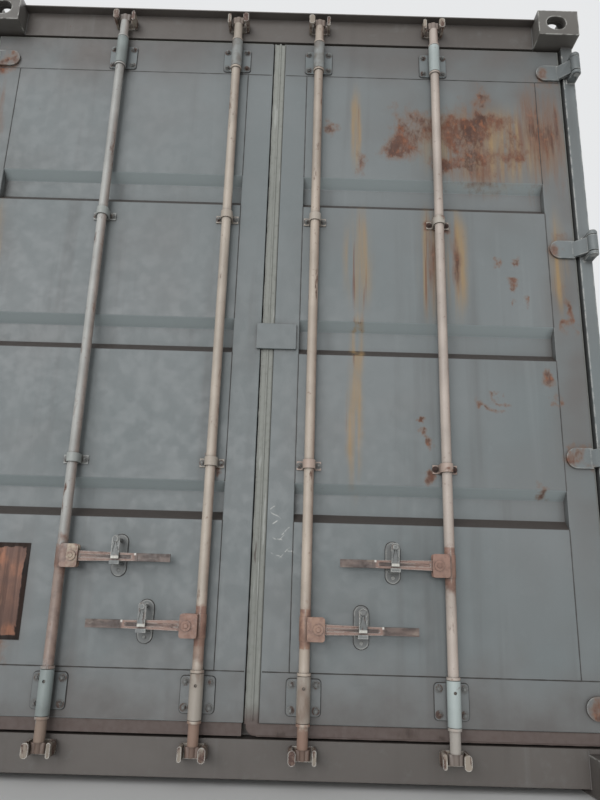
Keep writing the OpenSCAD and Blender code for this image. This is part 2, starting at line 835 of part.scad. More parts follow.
module blade() {
    corner = leaf_outer - blade_bend;
    shift = arm_t / sqrt(2);
    difference() {
        union() {
            translate([0, door_y, 0]) rotate([90, 0, 0]) linear_extrude(height = blade_t) {
                translate([blade_x + blade_h / 2, -blade_h / 2])
                    square([corner - blade_x - blade_h / 2, blade_h]);
                translate([blade_x + blade_h / 2, 0]) circle(r = blade_h / 2);
            }
            linear_extrude(height = knuckle_h, center = true) {
                polygon([[corner - blade_t * 2, door_y], [corner, door_y],
                    [hinge_x, door_y - (hinge_x - corner)],
                    [hinge_x, door_y - (hinge_x - corner) - 2 * shift],
                    [corner - 2 * shift + blade_t, door_y - blade_t],
                    [corner - blade_t * 2, door_y - blade_t]]);
                translate([hinge_x, hinge_y]) circle(r = knuckle_r);
            }
        }
        translate([hinge_x, hinge_y, 0])
            cylinder(r = pin_r + run_gap, h = knuckle_h + 2 * eps, center = true);
    }
}

module hinge_blades() {
    each_hinge() blade();
}

// A sleeve for one rod at x = 0, from z up by h, on its foot plate.
module sleeve(z, h, grease) {
    difference() {
        union() {
            translate([0, rod_y, z]) cylinder(r = sleeve_r, h = h);
            box([-foot_web, rod_y, z + (h - foot_h) / 2], [foot_web, door_y, z + (h + foot_h) / 2]);
            translate([0, door_y, z + h / 2]) rotate([90, 0, 0])
                linear_extrude(height = foot_t) round_plate(2 * foot_half, foot_h, foot_r);
        }
        translate([0, rod_y, z - eps]) cylinder(r = sleeve_bore, h = h + 2 * eps);
        if (grease) {
            translate([0, rod_y, z + h - grease_drop]) rotate([90, 0, 0])
                cylinder(r = grease_r, h = 2 * sleeve_r);
        }
    }
}

module strap(z) {
    difference() {
        union() {
            translate([0, rod_y, z - strap_h / 2]) cylinder(r = sleeve_r, h = strap_h);
            box([-sleeve_r, rod_y, z - strap_h / 2], [sleeve_r, door_y, z + strap_h / 2]);
            box([-strap_half, door_y - foot_t, z - strap_h / 2], [strap_half, door_y, z + strap_h / 2]);
        }
        translate([0, rod_y, z - strap_h]) cylinder(r = sleeve_bore, h = 2 * strap_h);
        box([-sleeve_bore, rod_y, z - strap_h], [sleeve_bore, door_y - foot_t, z + strap_h]);
    }
}

module guides_of_one_rod() {
    sleeve(low_sleeve_z, low_sleeve_h, true);
    sleeve(high_sleeve_z, high_sleeve_h, false);
    strap(low_strap_z);
    strap(high_strap_z);
}

module rod_guides() {
    translate([rod_in, 0, 0]) guides_of_one_rod();
    translate([rod_out, 0, 0]) guides_of_one_rod();
}

// A cam with two ears. The ear at low x is the one the keeper lip holds.
module cam(z) {
    translate([0, rod_y, z]) {
        linear_extrude(height = cam_h, center = true) {
            square([2 * (cam_reach - cam_half), 2 * cam_half], center = true);
            translate([cam_reach - cam_half, 0]) circle(r = cam_half);
            translate([cam_half - cam_reach, 0]) circle(r = cam_half);
            circle(r = cam_hub_r);
        }
    }
}

module collar(z) {
    translate([0, rod_y, z]) cylinder(r = collar_r, h = collar_h);
}

// A fork that holds the handle pin, pointing to high x.
module fork(z) {
    translate([0, 0, z]) {
        translate([0, rod_y, 0]) cylinder(r = hub_r, h = 2 * hub_half, center = true);
        box([fork_from, handle_y - fork_out, -hub_half], [hub_reach - eye_r - web_gap, rod_y, hub_half]);
        for (y = [handle_y - fork_out, handle_y + fork_out + fork_t]) {
            translate([(fork_from + fork_reach) / 2, y, 0]) rotate([90, 0, 0])
                linear_extrude(height = fork_t) round_plate(fork_reach - fork_from, 2 * hub_half, fork_r);
        }
        translate([hub_reach, handle_y - fork_out - fork_t, 0]) rotate([-90, 0, 0])
            cylinder(r = rivet_r, h = 2 * (fork_out + fork_t));
        translate([hub_reach, handle_y - fork_out - fork_t, 0]) rotate([90, 0, 0])
            cylinder(r = rivet_head_r, h = rivet_head_t);
    }
}

// A lock rod at x = 0 with its fork towards high x.
module lock_rod(z) {
    translate([0, rod_y, cam_low_z + cam_h / 2]) cylinder(r = rod_r, h = cam_high_z - cam_low_z - cam_h);
    cam(cam_low_z);
    cam(cam_high_z);
    collar(low_sleeve_z - collar_gap - collar_h);
    collar(low_sleeve_z + low_sleeve_h + collar_gap);
    collar(high_sleeve_z - collar_gap - collar_h);
    collar(high_sleeve_z + high_sleeve_h + collar_gap);
    fork(z);
}

// A handle for a rod at x = 0, pointing to high x, its middle at height z.
module handle(z) {
    translate([0, handle_y, z]) difference() {
        union() {
            translate([hub_reach, 0, 0]) rotate([90, 0, 0])
                cylinder(r = eye_r, h = handle_t, center = true);
            rotate([90, 0, 0]) linear_extrude(height = handle_t, center = true)
                polygon([[hub_reach, -bar_half_in], [grip_start + grip_lap, -bar_half_out],
                    [grip_start + grip_lap, bar_half_out], [hub_reach, bar_half_in]]);
            box([grip_start, -grip_t / 2, -grip_half], [handle_reach, grip_t / 2, grip_half]);
        }
        translate([hub_reach, 0, 0]) rotate([90, 0, 0])
            cylinder(r = rivet_r + run_gap, h = 2 * handle_t, center = true);
        box([hub_reach + eye_r + press_end, -handle_t / 2 - eps, -press_half],
            [grip_start - press_end, -handle_t / 2 + press_depth, press_half]);
    }
}

// A retainer at x = 0 for a handle whose middle is at height z.
module retainer(z) {
    translate([0, 0, z]) {
        translate([0, door_y, retainer_lift]) rotate([90, 90, 0]) translate([0, 0, retainer_t / 2])
            stadium(retainer_h, retainer_half, retainer_t);
        box([-hook_half, catch_y, hook_floor - hook_t], [hook_half, door_y, hook_floor]);
        box([-hook_half, catch_y, hook_floor - hook_t],
            [hook_half, catch_y + hook_t, hook_floor - hook_t + hook_lip]);
        translate([0, catch_y - 1, catch_z]) rotate([-90, 0, 0])
            cylinder(r = catch_pin_r, h = door_y - catch_y + 1);
    }
}

// A catch hanging in front of the handle from its pivot.
module catch_piece(z) {
    translate([0, catch_y + catch_t, z + catch_z]) rotate([90, 0, 0]) linear_extrude(height = catch_t) {
        difference() {
            union() {
                circle(r = catch_half);
                translate([-catch_half, -catch_l]) square([2 * catch_half, catch_l]);
            }
            circle(r = catch_pin_r + run_gap);
        }
    }
}

module handle_retainers() {
    translate([rod_in + retainer_reach, 0, 0]) retainer(handle_low_z);
    translate([rod_out - retainer_reach, 0, 0]) retainer(handle_high_z);
}

module left_door_frame() color("slategray") mirror([1, 0, 0]) {
    leaf_frame(left_free);
    box([left_free - left_lip, door_y, leaf_bottom], [left_free, door_y + left_lip_t, leaf_top]);
}

module right_door_frame() color("slategray") leaf_frame(right_free);

module left_door_panel() color("lightslategray") mirror([1, 0, 0]) leaf_panel();

module right_door_panel() color("lightslategray") leaf_panel();

module left_door_seal() color("darkslategray") mirror([1, 0, 0]) seal(left_free, left_free, eps);

module right_door_seal() color("darkslategray") seal(right_free, -seal_cross, seal_r);

module left_hinge_blades() color("slategray") mirror([1, 0, 0]) hinge_blades();

module right_hinge_blades() color("slategray") hinge_blades();

module left_rod_guides() color("lightsteelblue") mirror([1, 0, 0]) rod_guides();

module right_rod_guides() color("lightsteelblue") rod_guides();

module left_handle_retainers() color("rosybrown") mirror([1, 0, 0]) handle_retainers();

module right_handle_retainers() color("rosybrown") handle_retainers();

module data_plate() color("goldenrod")
    box([-data_far, door_y - data_t, data_z], [data_w - data_far, door_y, data_z + data_h]);

module overlap_plate() color("slategray") {
    box([overlap_from, door_y - overlap_gap - overlap_t, overlap_z],
        [overlap_to, door_y - overlap_gap, overlap_z + overlap_h]);
    box([right_free, door_y - overlap_gap, overlap_z], [overlap_to, door_y, overlap_z + overlap_h]);
}

module lock_rod_1() color("wheat") translate([-rod_out, 0, 0]) lock_rod(handle_high_z);

module lock_rod_2() color("wheat") translate([-rod_in, 0, 0]) mirror([1, 0, 0]) lock_rod(handle_low_z);

module lock_rod_3() color("wheat") translate([rod_in, 0, 0]) lock_rod(handle_low_z);

module lock_rod_4() color("wheat") translate([rod_out, 0, 0]) mirror([1, 0, 0]) lock_rod(handle_high_z);

module handle_1() color("rosybrown") translate([-rod_out, 0, 0]) handle(handle_high_z);

module handle_2() color("rosybrown") translate([-rod_in, 0, 0]) mirror([1, 0, 0]) handle(handle_low_z);

module handle_3() color("rosybrown") translate([rod_in, 0, 0]) handle(handle_low_z);

module handle_4() color("rosybrown") translate([rod_out, 0, 0]) mirror([1, 0, 0]) handle(handle_high_z);

module catch_1() color("silver") translate([-rod_out + retainer_reach, 0, 0]) catch_piece(handle_high_z);

module catch_2() color("silver") translate([-rod_in - retainer_reach, 0, 0]) catch_piece(handle_low_z);

module catch_3() color("silver") translate([rod_in + retainer_reach, 0, 0]) catch_piece(handle_low_z);

module catch_4() color("silver") translate([rod_out - retainer_reach, 0, 0]) catch_piece(handle_high_z);

rear_corner_castings();
front_corner_castings();
rear_posts();
front_posts();
door_header();
door_sill();
front_top_rail();
front_bottom_rail();
top_side_rails();
bottom_side_rails();
side_walls();
front_wall();
roof();
floor_boards();
cross_members();
gooseneck_tunnel();
cam_keepers();
hinge_pins();
vents();
left_door_frame();
left_door_panel();
left_door_seal();
left_hinge_blades();
left_rod_guides();
left_handle_retainers();
data_plate();
right_door_frame();
right_door_panel();
right_door_seal();
right_hinge_blades();
right_rod_guides();
right_handle_retainers();
overlap_plate();
lock_rod_1();
lock_rod_2();
lock_rod_3();
lock_rod_4();
handle_1();
handle_2();
handle_3();
handle_4();
catch_1();
catch_2();
catch_3();
catch_4();
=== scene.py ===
import math
import random

import bmesh
import bpy
from mathutils import Matrix, Vector


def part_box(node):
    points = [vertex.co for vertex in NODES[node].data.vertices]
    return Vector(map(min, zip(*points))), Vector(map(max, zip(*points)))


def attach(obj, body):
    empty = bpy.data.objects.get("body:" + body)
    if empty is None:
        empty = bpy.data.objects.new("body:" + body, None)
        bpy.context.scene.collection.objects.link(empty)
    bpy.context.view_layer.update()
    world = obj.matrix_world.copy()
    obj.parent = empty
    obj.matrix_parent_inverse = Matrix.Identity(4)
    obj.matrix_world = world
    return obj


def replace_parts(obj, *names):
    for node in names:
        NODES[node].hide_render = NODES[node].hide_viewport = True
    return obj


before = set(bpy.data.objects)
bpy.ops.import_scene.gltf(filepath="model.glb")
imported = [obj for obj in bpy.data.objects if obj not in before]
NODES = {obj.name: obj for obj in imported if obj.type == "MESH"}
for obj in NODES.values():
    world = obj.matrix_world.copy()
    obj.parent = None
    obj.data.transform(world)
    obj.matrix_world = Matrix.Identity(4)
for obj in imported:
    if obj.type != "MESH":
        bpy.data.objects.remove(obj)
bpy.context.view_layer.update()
random.seed(7)

# Sizes in metres, from the frame's boxes. Those that no box gives repeat the part's source.
MM = 0.001
LEAF_LOW, LEAF_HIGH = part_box("right_door_frame")
LEFT_LOW, LEFT_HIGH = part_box("left_door_frame")
SIDE_LOW, SIDE_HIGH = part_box("side_walls")
FRONT_LOW, FRONT_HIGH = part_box("front_wall")
HEADER_LOW, HEADER_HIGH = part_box("door_header")
HEADER_Z = HEADER_LOW.z
FLOOR_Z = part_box("floor_boards")[1].z
REAR_Y = -6.096
FACE_Y = LEAF_LOW.y
PLATE_FACE = FACE_Y - 5 * MM
GROOVES = [0.936, 1.536, 2.136]
GROOVE_H, GROOVE_DEPTH = 0.132, 0.036
SLOPE_LOW, SLOPE_HIGH = 0.030, 0.032
DOOR_SHEET, SIDE_SHEET, FRONT_SHEET = 2 * MM, 1.6 * MM, 2 * MM
# Middles of the low and high sleeves and straps that hold the rods, and the sleeves' foot plates
SLEEVES = [0.192 + 0.133 / 2, 2.607 + 0.125 / 2]
STRAPS = [0.996, 1.936]
FOOT_HALF, FOOT_H, FOOT_R = 0.054, 0.108, 0.012
# Handles and what holds them. POINTS is the way each handle points, for the rods from left to right.
POINTS = {1: 1, 2: -1, 3: 1, 4: -1}
HANDLE_Z = {1: 0.672, 2: 0.466, 3: 0.466, 4: 0.672}
FORK_PIN = 0.041
RETAINER_REACH, RETAINER_HALF, RETAINER_H, RETAINER_LIFT = 0.182, 0.024, 0.134, 0.007
CATCH_UP = 0.055
CAM_REACH = 24 * MM
ROD_X = {}
for number in POINTS:
    low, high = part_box("lock_rod_%d" % number)
    # The fork reaches one way only, so the axis is found from the cam ear on the other side.
    ROD_X[number] = low.x + CAM_REACH if POINTS[number] > 0 else high.x - CAM_REACH


# Materials

def srgb(r, g, b):
    """A colour given as 0 to 255, as linear values."""
    return tuple(((c / 255 + 0.055) / 1.055) ** 2.4 if c > 10 else c / 3295 for c in (r, g, b)) + (1,)


class Paint:
    """Builds one procedural material, node by node."""

    def __init__(self, name):
        self.material = bpy.data.materials.new(name)
        self.material.use_nodes = True
        self.tree = self.material.node_tree
        self.shader = self.tree.nodes["Principled BSDF"]
        place = self.tree.nodes.new("ShaderNodeTexCoord")
        self.coords = place.outputs["Object"]
        self.own_normal = place.outputs["Normal"]
        self.normal = self.tree.nodes.new("ShaderNodeNewGeometry").outputs["Normal"]

    def put(self, socket, value):
        if isinstance(value, bpy.types.NodeSocket):
            self.tree.links.new(value, socket)
        else:
            socket.default_value = value

    def math(self, operation, a, b=0.0, clamp=False):
        node = self.tree.nodes.new("ShaderNodeMath")
        node.operation = operation
        node.use_clamp = clamp
        self.put(node.inputs[0], a)
        self.put(node.inputs[1], b)
        return node.outputs[0]

    def vector(self, operation, a, b):
        node = self.tree.nodes.new("ShaderNodeVectorMath")
        node.operation = operation
        self.put(node.inputs[0], a)
        self.put(node.inputs[1], b)
        return node.outputs["Value" if operation in ("LENGTH", "DOT_PRODUCT") else "Vector"]

    def noise(self, scale, detail=4.0, stretch=(1, 1, 1), shift=0.0, rough=0.55):
        """A noise value. Stretch below 1 draws it out along that axis."""
        moved = self.vector("ADD", self.coords, (shift, shift * 0.7, shift * 1.3))
        node = self.tree.nodes.new("ShaderNodeTexNoise")
        self.put(node.inputs["Vector"], self.vector("MULTIPLY", moved, stretch))
        node.inputs["Scale"].default_value = scale
        node.inputs["Detail"].default_value = detail
        node.inputs["Roughness"].default_value = rough
        return node.outputs["Fac"]

    def step(self, value, low, high, to_low=0.0, to_high=1.0):
        """A soft threshold: low gives to_low, high gives to_high."""
        node = self.tree.nodes.new("ShaderNodeMapRange")
        node.interpolation_type = "SMOOTHSTEP"
        self.put(node.inputs["Value"], value)
        node.inputs["From Min"].default_value = low
        node.inputs["From Max"].default_value = high
        node.inputs["To Min"].default_value = to_low
        node.inputs["To Max"].default_value = to_high
        return node.outputs["Result"]

    def mix(self, fac, a, b):
        node = self.tree.nodes.new("ShaderNodeMix")
        node.data_type = "RGBA"
        self.put(node.inputs["Factor"], fac)
        self.put(node.inputs["A"], a)
        self.put(node.inputs["B"], b)
        return node.outputs["Result"]

    def part(self, axis, coords=None):
        node = self.tree.nodes.new("ShaderNodeSeparateXYZ")
        self.put(node.inputs[0], coords or self.coords)
        return node.outputs[axis]

    def facing(self, direction):
        """How far the surface faces a direction of the world, from -1 to 1."""
        return self.vector("DOT_PRODUCT", self.normal, direction)

    def outside(self):
        """1 on what faces out of the doors, 0 on their inner side."""
        return self.step(self.vector("DOT_PRODUCT", self.own_normal, (0, 1, 0)), 0.35, 0.15)

    def pushed(self, coords, scale, amount):
        """Coordinates pushed about by noise, to tear the outline of what is placed by them."""
        node = self.tree.nodes.new("ShaderNodeTexNoise")
        self.put(node.inputs["Vector"], self.coords)
        node.inputs["Scale"].default_value = scale
        node.inputs["Detail"].default_value = 3
        node.inputs["Roughness"].default_value = 0.65
        push = self.vector("SUBTRACT", node.outputs["Color"], (0.5, 0.5, 0.5))
        return self.vector("ADD", coords, self.vector("MULTIPLY", push, (amount, 0, amount)))

    def blot(self, at, reach, sharp=0.0, coords=None):
        """1 at a point of the door plane, falling to 0 at reach in X and Z."""
        moved = self.vector("SUBTRACT", coords or self.coords, (at[0], 0, at[1]))
        scaled = self.vector("MULTIPLY", moved, (1 / reach[0], 0, 1 / reach[1]))
        return self.step(self.vector("LENGTH", scaled, (0, 0, 0)), 1.0, sharp)

    def between(self, value, low, high, soft):
        """1 between two values, with soft ends."""
        up = self.step(value, low - soft, low + soft)
        down = self.step(value, high - soft, high + soft, 1.0, 0.0)
        return self.math("MULTIPLY", up, down)

    def crevice_shade_and_dirt(self, reach):
        """1 where corners and fittings are closed in, from ambient occlusion: what it darkens is painted shade,
        with some dirt.
        """
        node = self.tree.nodes.new("ShaderNodeAmbientOcclusion")
        node.samples = 3
        node.inputs["Distance"].default_value = reach
        return self.step(node.outputs["AO"], 0.88, 0.42)

    def edge(self, radius):
        """1 along edges, where the rounded normal turns away from the face."""
        node = self.tree.nodes.new("ShaderNodeBevel")
        node.samples = 3
        node.inputs["Radius"].default_value = radius
        return self.step(self.vector("DOT_PRODUCT", node.outputs["Normal"], self.normal), 0.985, 0.90)

    def stroke(self, x, z, half, slope, wave):
        """1 along a short crooked scratch on the door plane."""
        dx = self.math("SUBTRACT", self.part("X"), x)
        dz = self.math("SUBTRACT", self.part("Z"), z)
        bend = self.math("MULTIPLY", self.math("SINE", self.math("MULTIPLY", dx, 3.2 / half)), wave)
        line = self.math("ADD", self.math("MULTIPLY", dx, slope), bend)
        off = self.math("ABSOLUTE", self.math("SUBTRACT", dz, line))
        ends = self.step(self.math("ABSOLUTE", dx), half, half * 0.3)
        return self.times(self.step(off, 0.0034, 0.0), ends)

    def most(self, values):
        out = values[0]
        for value in values[1:]:
            out = self.math("MAXIMUM", out, value)
        return out

    def times(self, *values):
        out = values[0]
        for value in values[1:]:
            out = self.math("MULTIPLY", out, value)
        return out

    def finish(self, colour, rough, height=None, strength=0.2, distance=0.002, metallic=0.0):
        self.put(self.shader.inputs["Base Color"], colour)
        self.put(self.shader.inputs["Roughness"], rough)
        self.put(self.shader.inputs["Metallic"], metallic)
        if height is not None:
            bump = self.tree.nodes.new("ShaderNodeBump")
            bump.inputs["Strength"].default_value = strength
            bump.inputs["Distance"].default_value = distance
            self.put(bump.inputs["Height"], height)
            self.put(self.shader.inputs["Normal"], bump.outputs["Normal"])
        return self.material


RUST_DARK = srgb(70, 45, 37)
RUST = srgb(102, 65, 49)
RUST_BRIGHT = srgb(140, 88, 60)
RUST_FILM = srgb(114, 88, 71)
# Colour of the painted highlight on what faces down
UNDERSIDE_LIGHT = srgb(142, 151, 152)
# Dark brown for dirt, and also laid as painted shade
GRIME_AND_SHADE = srgb(60, 53, 49)
STAIN = srgb(146, 121, 84)
CHALK = srgb(152, 158, 158)
PALE = srgb(200, 200, 194)
GREY = srgb(117, 122, 123)
GREY_TEAL = srgb(107, 114, 115)
BROWN_GREY = srgb(94, 87, 83)
BROWN_PINK = srgb(140, 112, 98)


def rust_colour(p):
    """Mottled rust, dark in its middle and orange in places."""
    mottle = p.noise(15, 5, stretch=(1, 1, 0.6), shift=3)
    fine = p.noise(60, 4, stretch=(1, 1, 0.6), shift=9)
    base = p.mix(p.step(mottle, 0.36, 0.60), RUST_DARK, RUST)
    return p.mix(p.times(p.step(fine, 0.50, 0.70), 0.8), base, RUST_BRIGHT)


def torn_rust(p, places, drip):
    """Rust about the places: the film round it, and the rust itself. Drip below 1 draws both downward."""
    at = p.pushed(p.pushed(p.coords, 5, 0.22), 24, 0.07) if drip > 0.3 else p.pushed(p.coords, 9, 0.035)
    blots = None
    for place, reach in places:
        blot = p.blot(place, reach, 0.0, at)
        blots = blot if blots is None else p.math("ADD", blots, blot, clamp=True)
    coarse = p.noise(12, 6, stretch=(1, 1, drip), shift=21, rough=0.72)
    fine = p.math("MULTIPLY", p.noise(46, 4, stretch=(1, 1, drip), shift=22, rough=0.7), 0.8)
    field = p.math("ADD", p.math("ADD", coarse, fine), p.math("MULTIPLY", blots, 0.55))
    present = p.times(p.step(blots, 0.0, 0.12), p.outside())
    return p.times(p.step(field, 0.98, 1.40), present), p.times(p.step(field, 1.24, 1.56), present)


def worn_paint(name, colour=GREY, other=GREY_TEAL, rust_at=None, runs_at=None, spots=0.5, stains=None,
               dust_and_shade=0.5, bottom_dirt_top_shade=True, rough=0.5, streaks=0.3, scuffs=None, wear_and_highlight=0.0, corners=0.0,
               underside_light=0.0, browned=None):
    """Old container paint: cloudy colour, runs of dirt, rust spots, settled dirt and painted shade on what
    faces up, painted shade in corners and under the header, a painted highlight on what faces down, and pale
    edges of wear and painted highlight.

    Lists give places on the door plane, and the other values say how strongly each wear, painted shade or
    painted highlight shows.
    """
    p = Paint(name)
    cloud = p.noise(1.3, 3, shift=1)
    fine = p.noise(26, 5, shift=5)
    body = p.mix(p.step(cloud, 0.30, 0.75), colour, other)
    body = p.mix(p.times(p.step(fine, 0.52, 0.8), 0.09), body, CHALK)
    brown = p.step(p.noise(2.1, 2, shift=14), 0.48, 0.72)
    body = p.mix(p.times(brown, 0.18), body, BROWN_GREY)
    runs = p.noise(9, 4, stretch=(1, 1, 0.06), shift=2)
    body = p.mix(p.times(p.step(runs, 0.54, 0.78), streaks), body, GRIME_AND_SHADE)
    pale_runs = p.noise(15, 3, stretch=(1, 1, 0.04), shift=6)
    body = p.mix(p.times(p.step(pale_runs, 0.6, 0.78), 0.14), body, CHALK)
    if bottom_dirt_top_shade:
        splash = p.math("ADD", p.step(p.part("Z"), 0.75, 0.05), p.math("MULTIPLY", p.noise(6, 5), 0.7))
        body = p.mix(p.times(p.step(splash, 0.7, 1.5), 0.68), body, BROWN_GREY)
        body = p.mix(p.times(p.step(splash, 1.05, 1.55), 0.42), body, GRIME_AND_SHADE)
        # Painted shade: the surface darker towards the header at the top
        header_shade = p.math("ADD", p.step(p.part("Z"), HEADER_Z - 0.35, HEADER_Z),
                      p.math("MULTIPLY", p.noise(4, 5), 0.6))
        body = p.mix(p.times(p.step(header_shade, 0.5, 1.6), 0.5), body, GRIME_AND_SHADE)
    if browned:
        film = p.times(p.most([p.blot(at, reach) for at, reach in browned]),
                       p.step(p.noise(4, 2, shift=15), 0.2, 0.7))
        body = p.mix(p.times(film, p.outside(), 0.75), body, BROWN_GREY)
    # Painted highlight: what faces down, such as the upper slopes of the grooves, lighter as if lit from below
    if underside_light:
        body = p.mix(p.times(p.step(p.facing((0, 0, -1)), 0.25, 0.6), underside_light), body, UNDERSIDE_LIGHT)
    # Settled dirt, and painted shade: what faces up darker, such as the lower slopes of the grooves
    up = p.step(p.facing((0, 0, 1)), 0.2, 0.7)
    body = p.mix(p.times(up, dust_and_shade), body, GRIME_AND_SHADE)
    # Painted shade, with dirt, darkens the corners and the surface near fittings
    if corners:
        body = p.mix(p.times(p.crevice_shade_and_dirt(0.028), corners), body, GRIME_AND_SHADE)
    if stains:
        wavy = p.pushed(p.coords, 7, 0.03)
        stain = p.times(p.most([p.blot(at, reach, 0.0, wavy) for at, reach in stains]), p.outside())
        lines = p.step(p.noise(38, 4, stretch=(1, 1, 0.04), shift=8), 0.32, 0.68)
        drips = p.step(p.noise(60, 3, stretch=(1, 1, 0.025), shift=18), 0.58, 0.66)
        body = p.mix(p.times(p.step(stain, 0.0, 0.75), lines, 0.9), body, STAIN)
        body = p.mix(p.times(p.step(stain, 0.15, 0.7), drips, 0.75), body, RUST)
    if scuffs:
        broken = p.step(p.noise(90, 5, shift=27), 0.34, 0.60)
        scratched = p.most([p.stroke(*scuff) for scuff in scuffs])
        body = p.mix(p.times(scratched, broken, p.outside(), 0.85), body, PALE)
    # Pale edges: edge wear, and a painted highlight along the edges
    if wear_and_highlight:
        rim = p.times(p.edge(0.008), p.step(p.noise(30, 5, shift=23), 0.40, 0.54))
        body = p.mix(p.times(rim, wear_and_highlight), body, PALE)
    films, masks = [], []
    if spots:
        masks.append(p.times(p.step(p.noise(17, 6, shift=4, rough=0.65), 0.70, 0.76), spots))
    for places, drip in ((rust_at, 0.5), (runs_at, 0.10)):
        if places:
            film, torn = torn_rust(p, places, drip)
            films.append(film)
            masks.append(torn)
    roughness = p.step(fine, 0.3, 0.7, rough - 0.06, rough + 0.12)
    height = p.math("MULTIPLY", fine, 0.5)
    if films:
        body = p.mix(p.times(p.most(films), 0.7), body, RUST_FILM)
    if masks:
        rust = p.times(p.most(masks), 0.88)
        body = p.mix(rust, body, rust_colour(p))
        roughness = p.math("ADD", roughness, p.math("MULTIPLY", rust, 0.3), clamp=True)
    return p.finish(body, roughness, height, 0.25, 0.002)


def metal_look(p, paint, bare, amount, scale=22, stretch=(1, 1, 0.25), rim=0.0):
    """Paint, rubbed away in patches: the colour, and 1 where it is gone, and a fine grain. Its crevices take
    painted shade and its rims a painted highlight.
    """
    patches = p.noise(scale, 6, stretch=stretch, shift=2, rough=0.65)
    fine = p.noise(160, 4, shift=7)
    cloud = p.noise(4, 3, shift=4)
    body = p.mix(p.step(cloud, 0.3, 0.7), paint, tuple(0.72 * c for c in paint[:3]) + (1,))
    gone = p.step(patches, amount, amount + 0.08)
    body = p.mix(gone, body, p.mix(p.step(fine, 0.4, 0.6), bare, RUST_DARK))
    body = p.mix(p.times(p.step(p.noise(60, 5, shift=11), 0.62, 0.74), 0.5), body, RUST)
    # Painted shade, with dirt, in the crevices
    body = p.mix(p.times(p.crevice_shade_and_dirt(0.014), 0.75), body, GRIME_AND_SHADE)
    # Pale rims: edge wear, and a painted highlight along the edges
    if rim:
        bright = p.times(p.edge(0.005), p.step(p.noise(44, 4, shift=24), 0.38, 0.52))
        body = p.mix(p.times(bright, rim), body, PALE)
    return body, gone, fine


def metal_finish(p, body, gone, fine, rough=0.45, metallic=0.0):
    roughness = p.step(fine, 0.3, 0.7, rough - 0.08, rough + 0.14)
    height = p.math("ADD", p.math("MULTIPLY", gone, -0.6), p.math("MULTIPLY", fine, 0.4))
    return p.finish(body, roughness, height, 0.3, 0.001, metallic)


def worn_metal(name, paint, bare, amount, rough=0.45, metallic=0.0, scale=22, stretch=(1, 1, 0.25), rim=0.0):
    """A handled or rubbed piece: paint gone to brown or bare metal in patches."""
    p = Paint(name)
    body, gone, fine = metal_look(p, paint, bare, amount, scale, stretch, rim)
    return metal_finish(p, body, gone, fine, rough, metallic)


def rod_finish(number, paint, hub, brown_to, low, hub_from=0.0):
    """A lock rod: paint rubbed off in patches, a fork of another colour, brown from it down to brown_to, and a
    low end, with painted shade on its side facing +X, on its cams and in its crevices.
    """
    p = Paint("rod_%d_finish" % number)
    hub_z = HANDLE_Z[number]
    body, gone, fine = metal_look(p, paint, srgb(122, 98, 84), 0.60)
    ragged = p.math("MULTIPLY", p.math("SUBTRACT", p.noise(24, 5, shift=6), 0.5), 0.20)
    height = p.math("ADD", p.part("Z"), ragged)
    brown = p.mix(p.step(p.noise(34, 5, shift=16), 0.4, 0.65), BROWN_PINK, srgb(112, 84, 72))
    mottled = p.mix(p.step(p.noise(48, 5, shift=17), 0.42, 0.66), hub, srgb(122, 92, 80))
    body = p.mix(p.times(p.between(height, hub_z - 0.05, hub_z + 0.048, 0.022), 0.85), body, brown)
    out = p.math("ABSOLUTE", p.math("SUBTRACT", p.part("X"), ROD_X[number]))
    plate = p.times(p.between(p.part("Z"), hub_z - 0.06, hub_z + 0.06, 0.002),
                    p.step(out, hub_from, hub_from + 0.004))
    body = p.mix(p.times(plate, 0.95), body, mottled)
    body = p.mix(p.times(p.between(height, brown_to, hub_z, 0.03), 0.7), body, brown)
    # Brown rust, and painted shade: the side facing +X browner in patches
    side = p.step(p.vector("DOT_PRODUCT", p.own_normal, (1, 0, 0)), 0.1, 0.9)
    patchy = p.step(p.noise(6, 5, stretch=(1, 1, 0.2), shift=31), 0.3, 0.6)
    body = p.mix(p.times(side, patchy, 0.55), body, brown)
    body = p.mix(p.times(p.step(height, 0.215, 0.185), 0.9), body, low)
    # Painted shade, with dirt: the cams at both ends darker, so the rod reads as ending above them
    end = p.most([p.step(p.part("Z"), 0.122, 0.116), p.step(p.part("Z"), HEADER_Z + 0.038, HEADER_Z + 0.044)])
    body = p.mix(p.times(end, 0.7), body, srgb(98, 82, 74))
    # Painted shade, with dirt, where the rod meets its guides and fork
    body = p.mix(p.times(p.crevice_shade_and_dirt(0.014), 0.7), body, GRIME_AND_SHADE)
    return metal_finish(p, body, gone, fine)


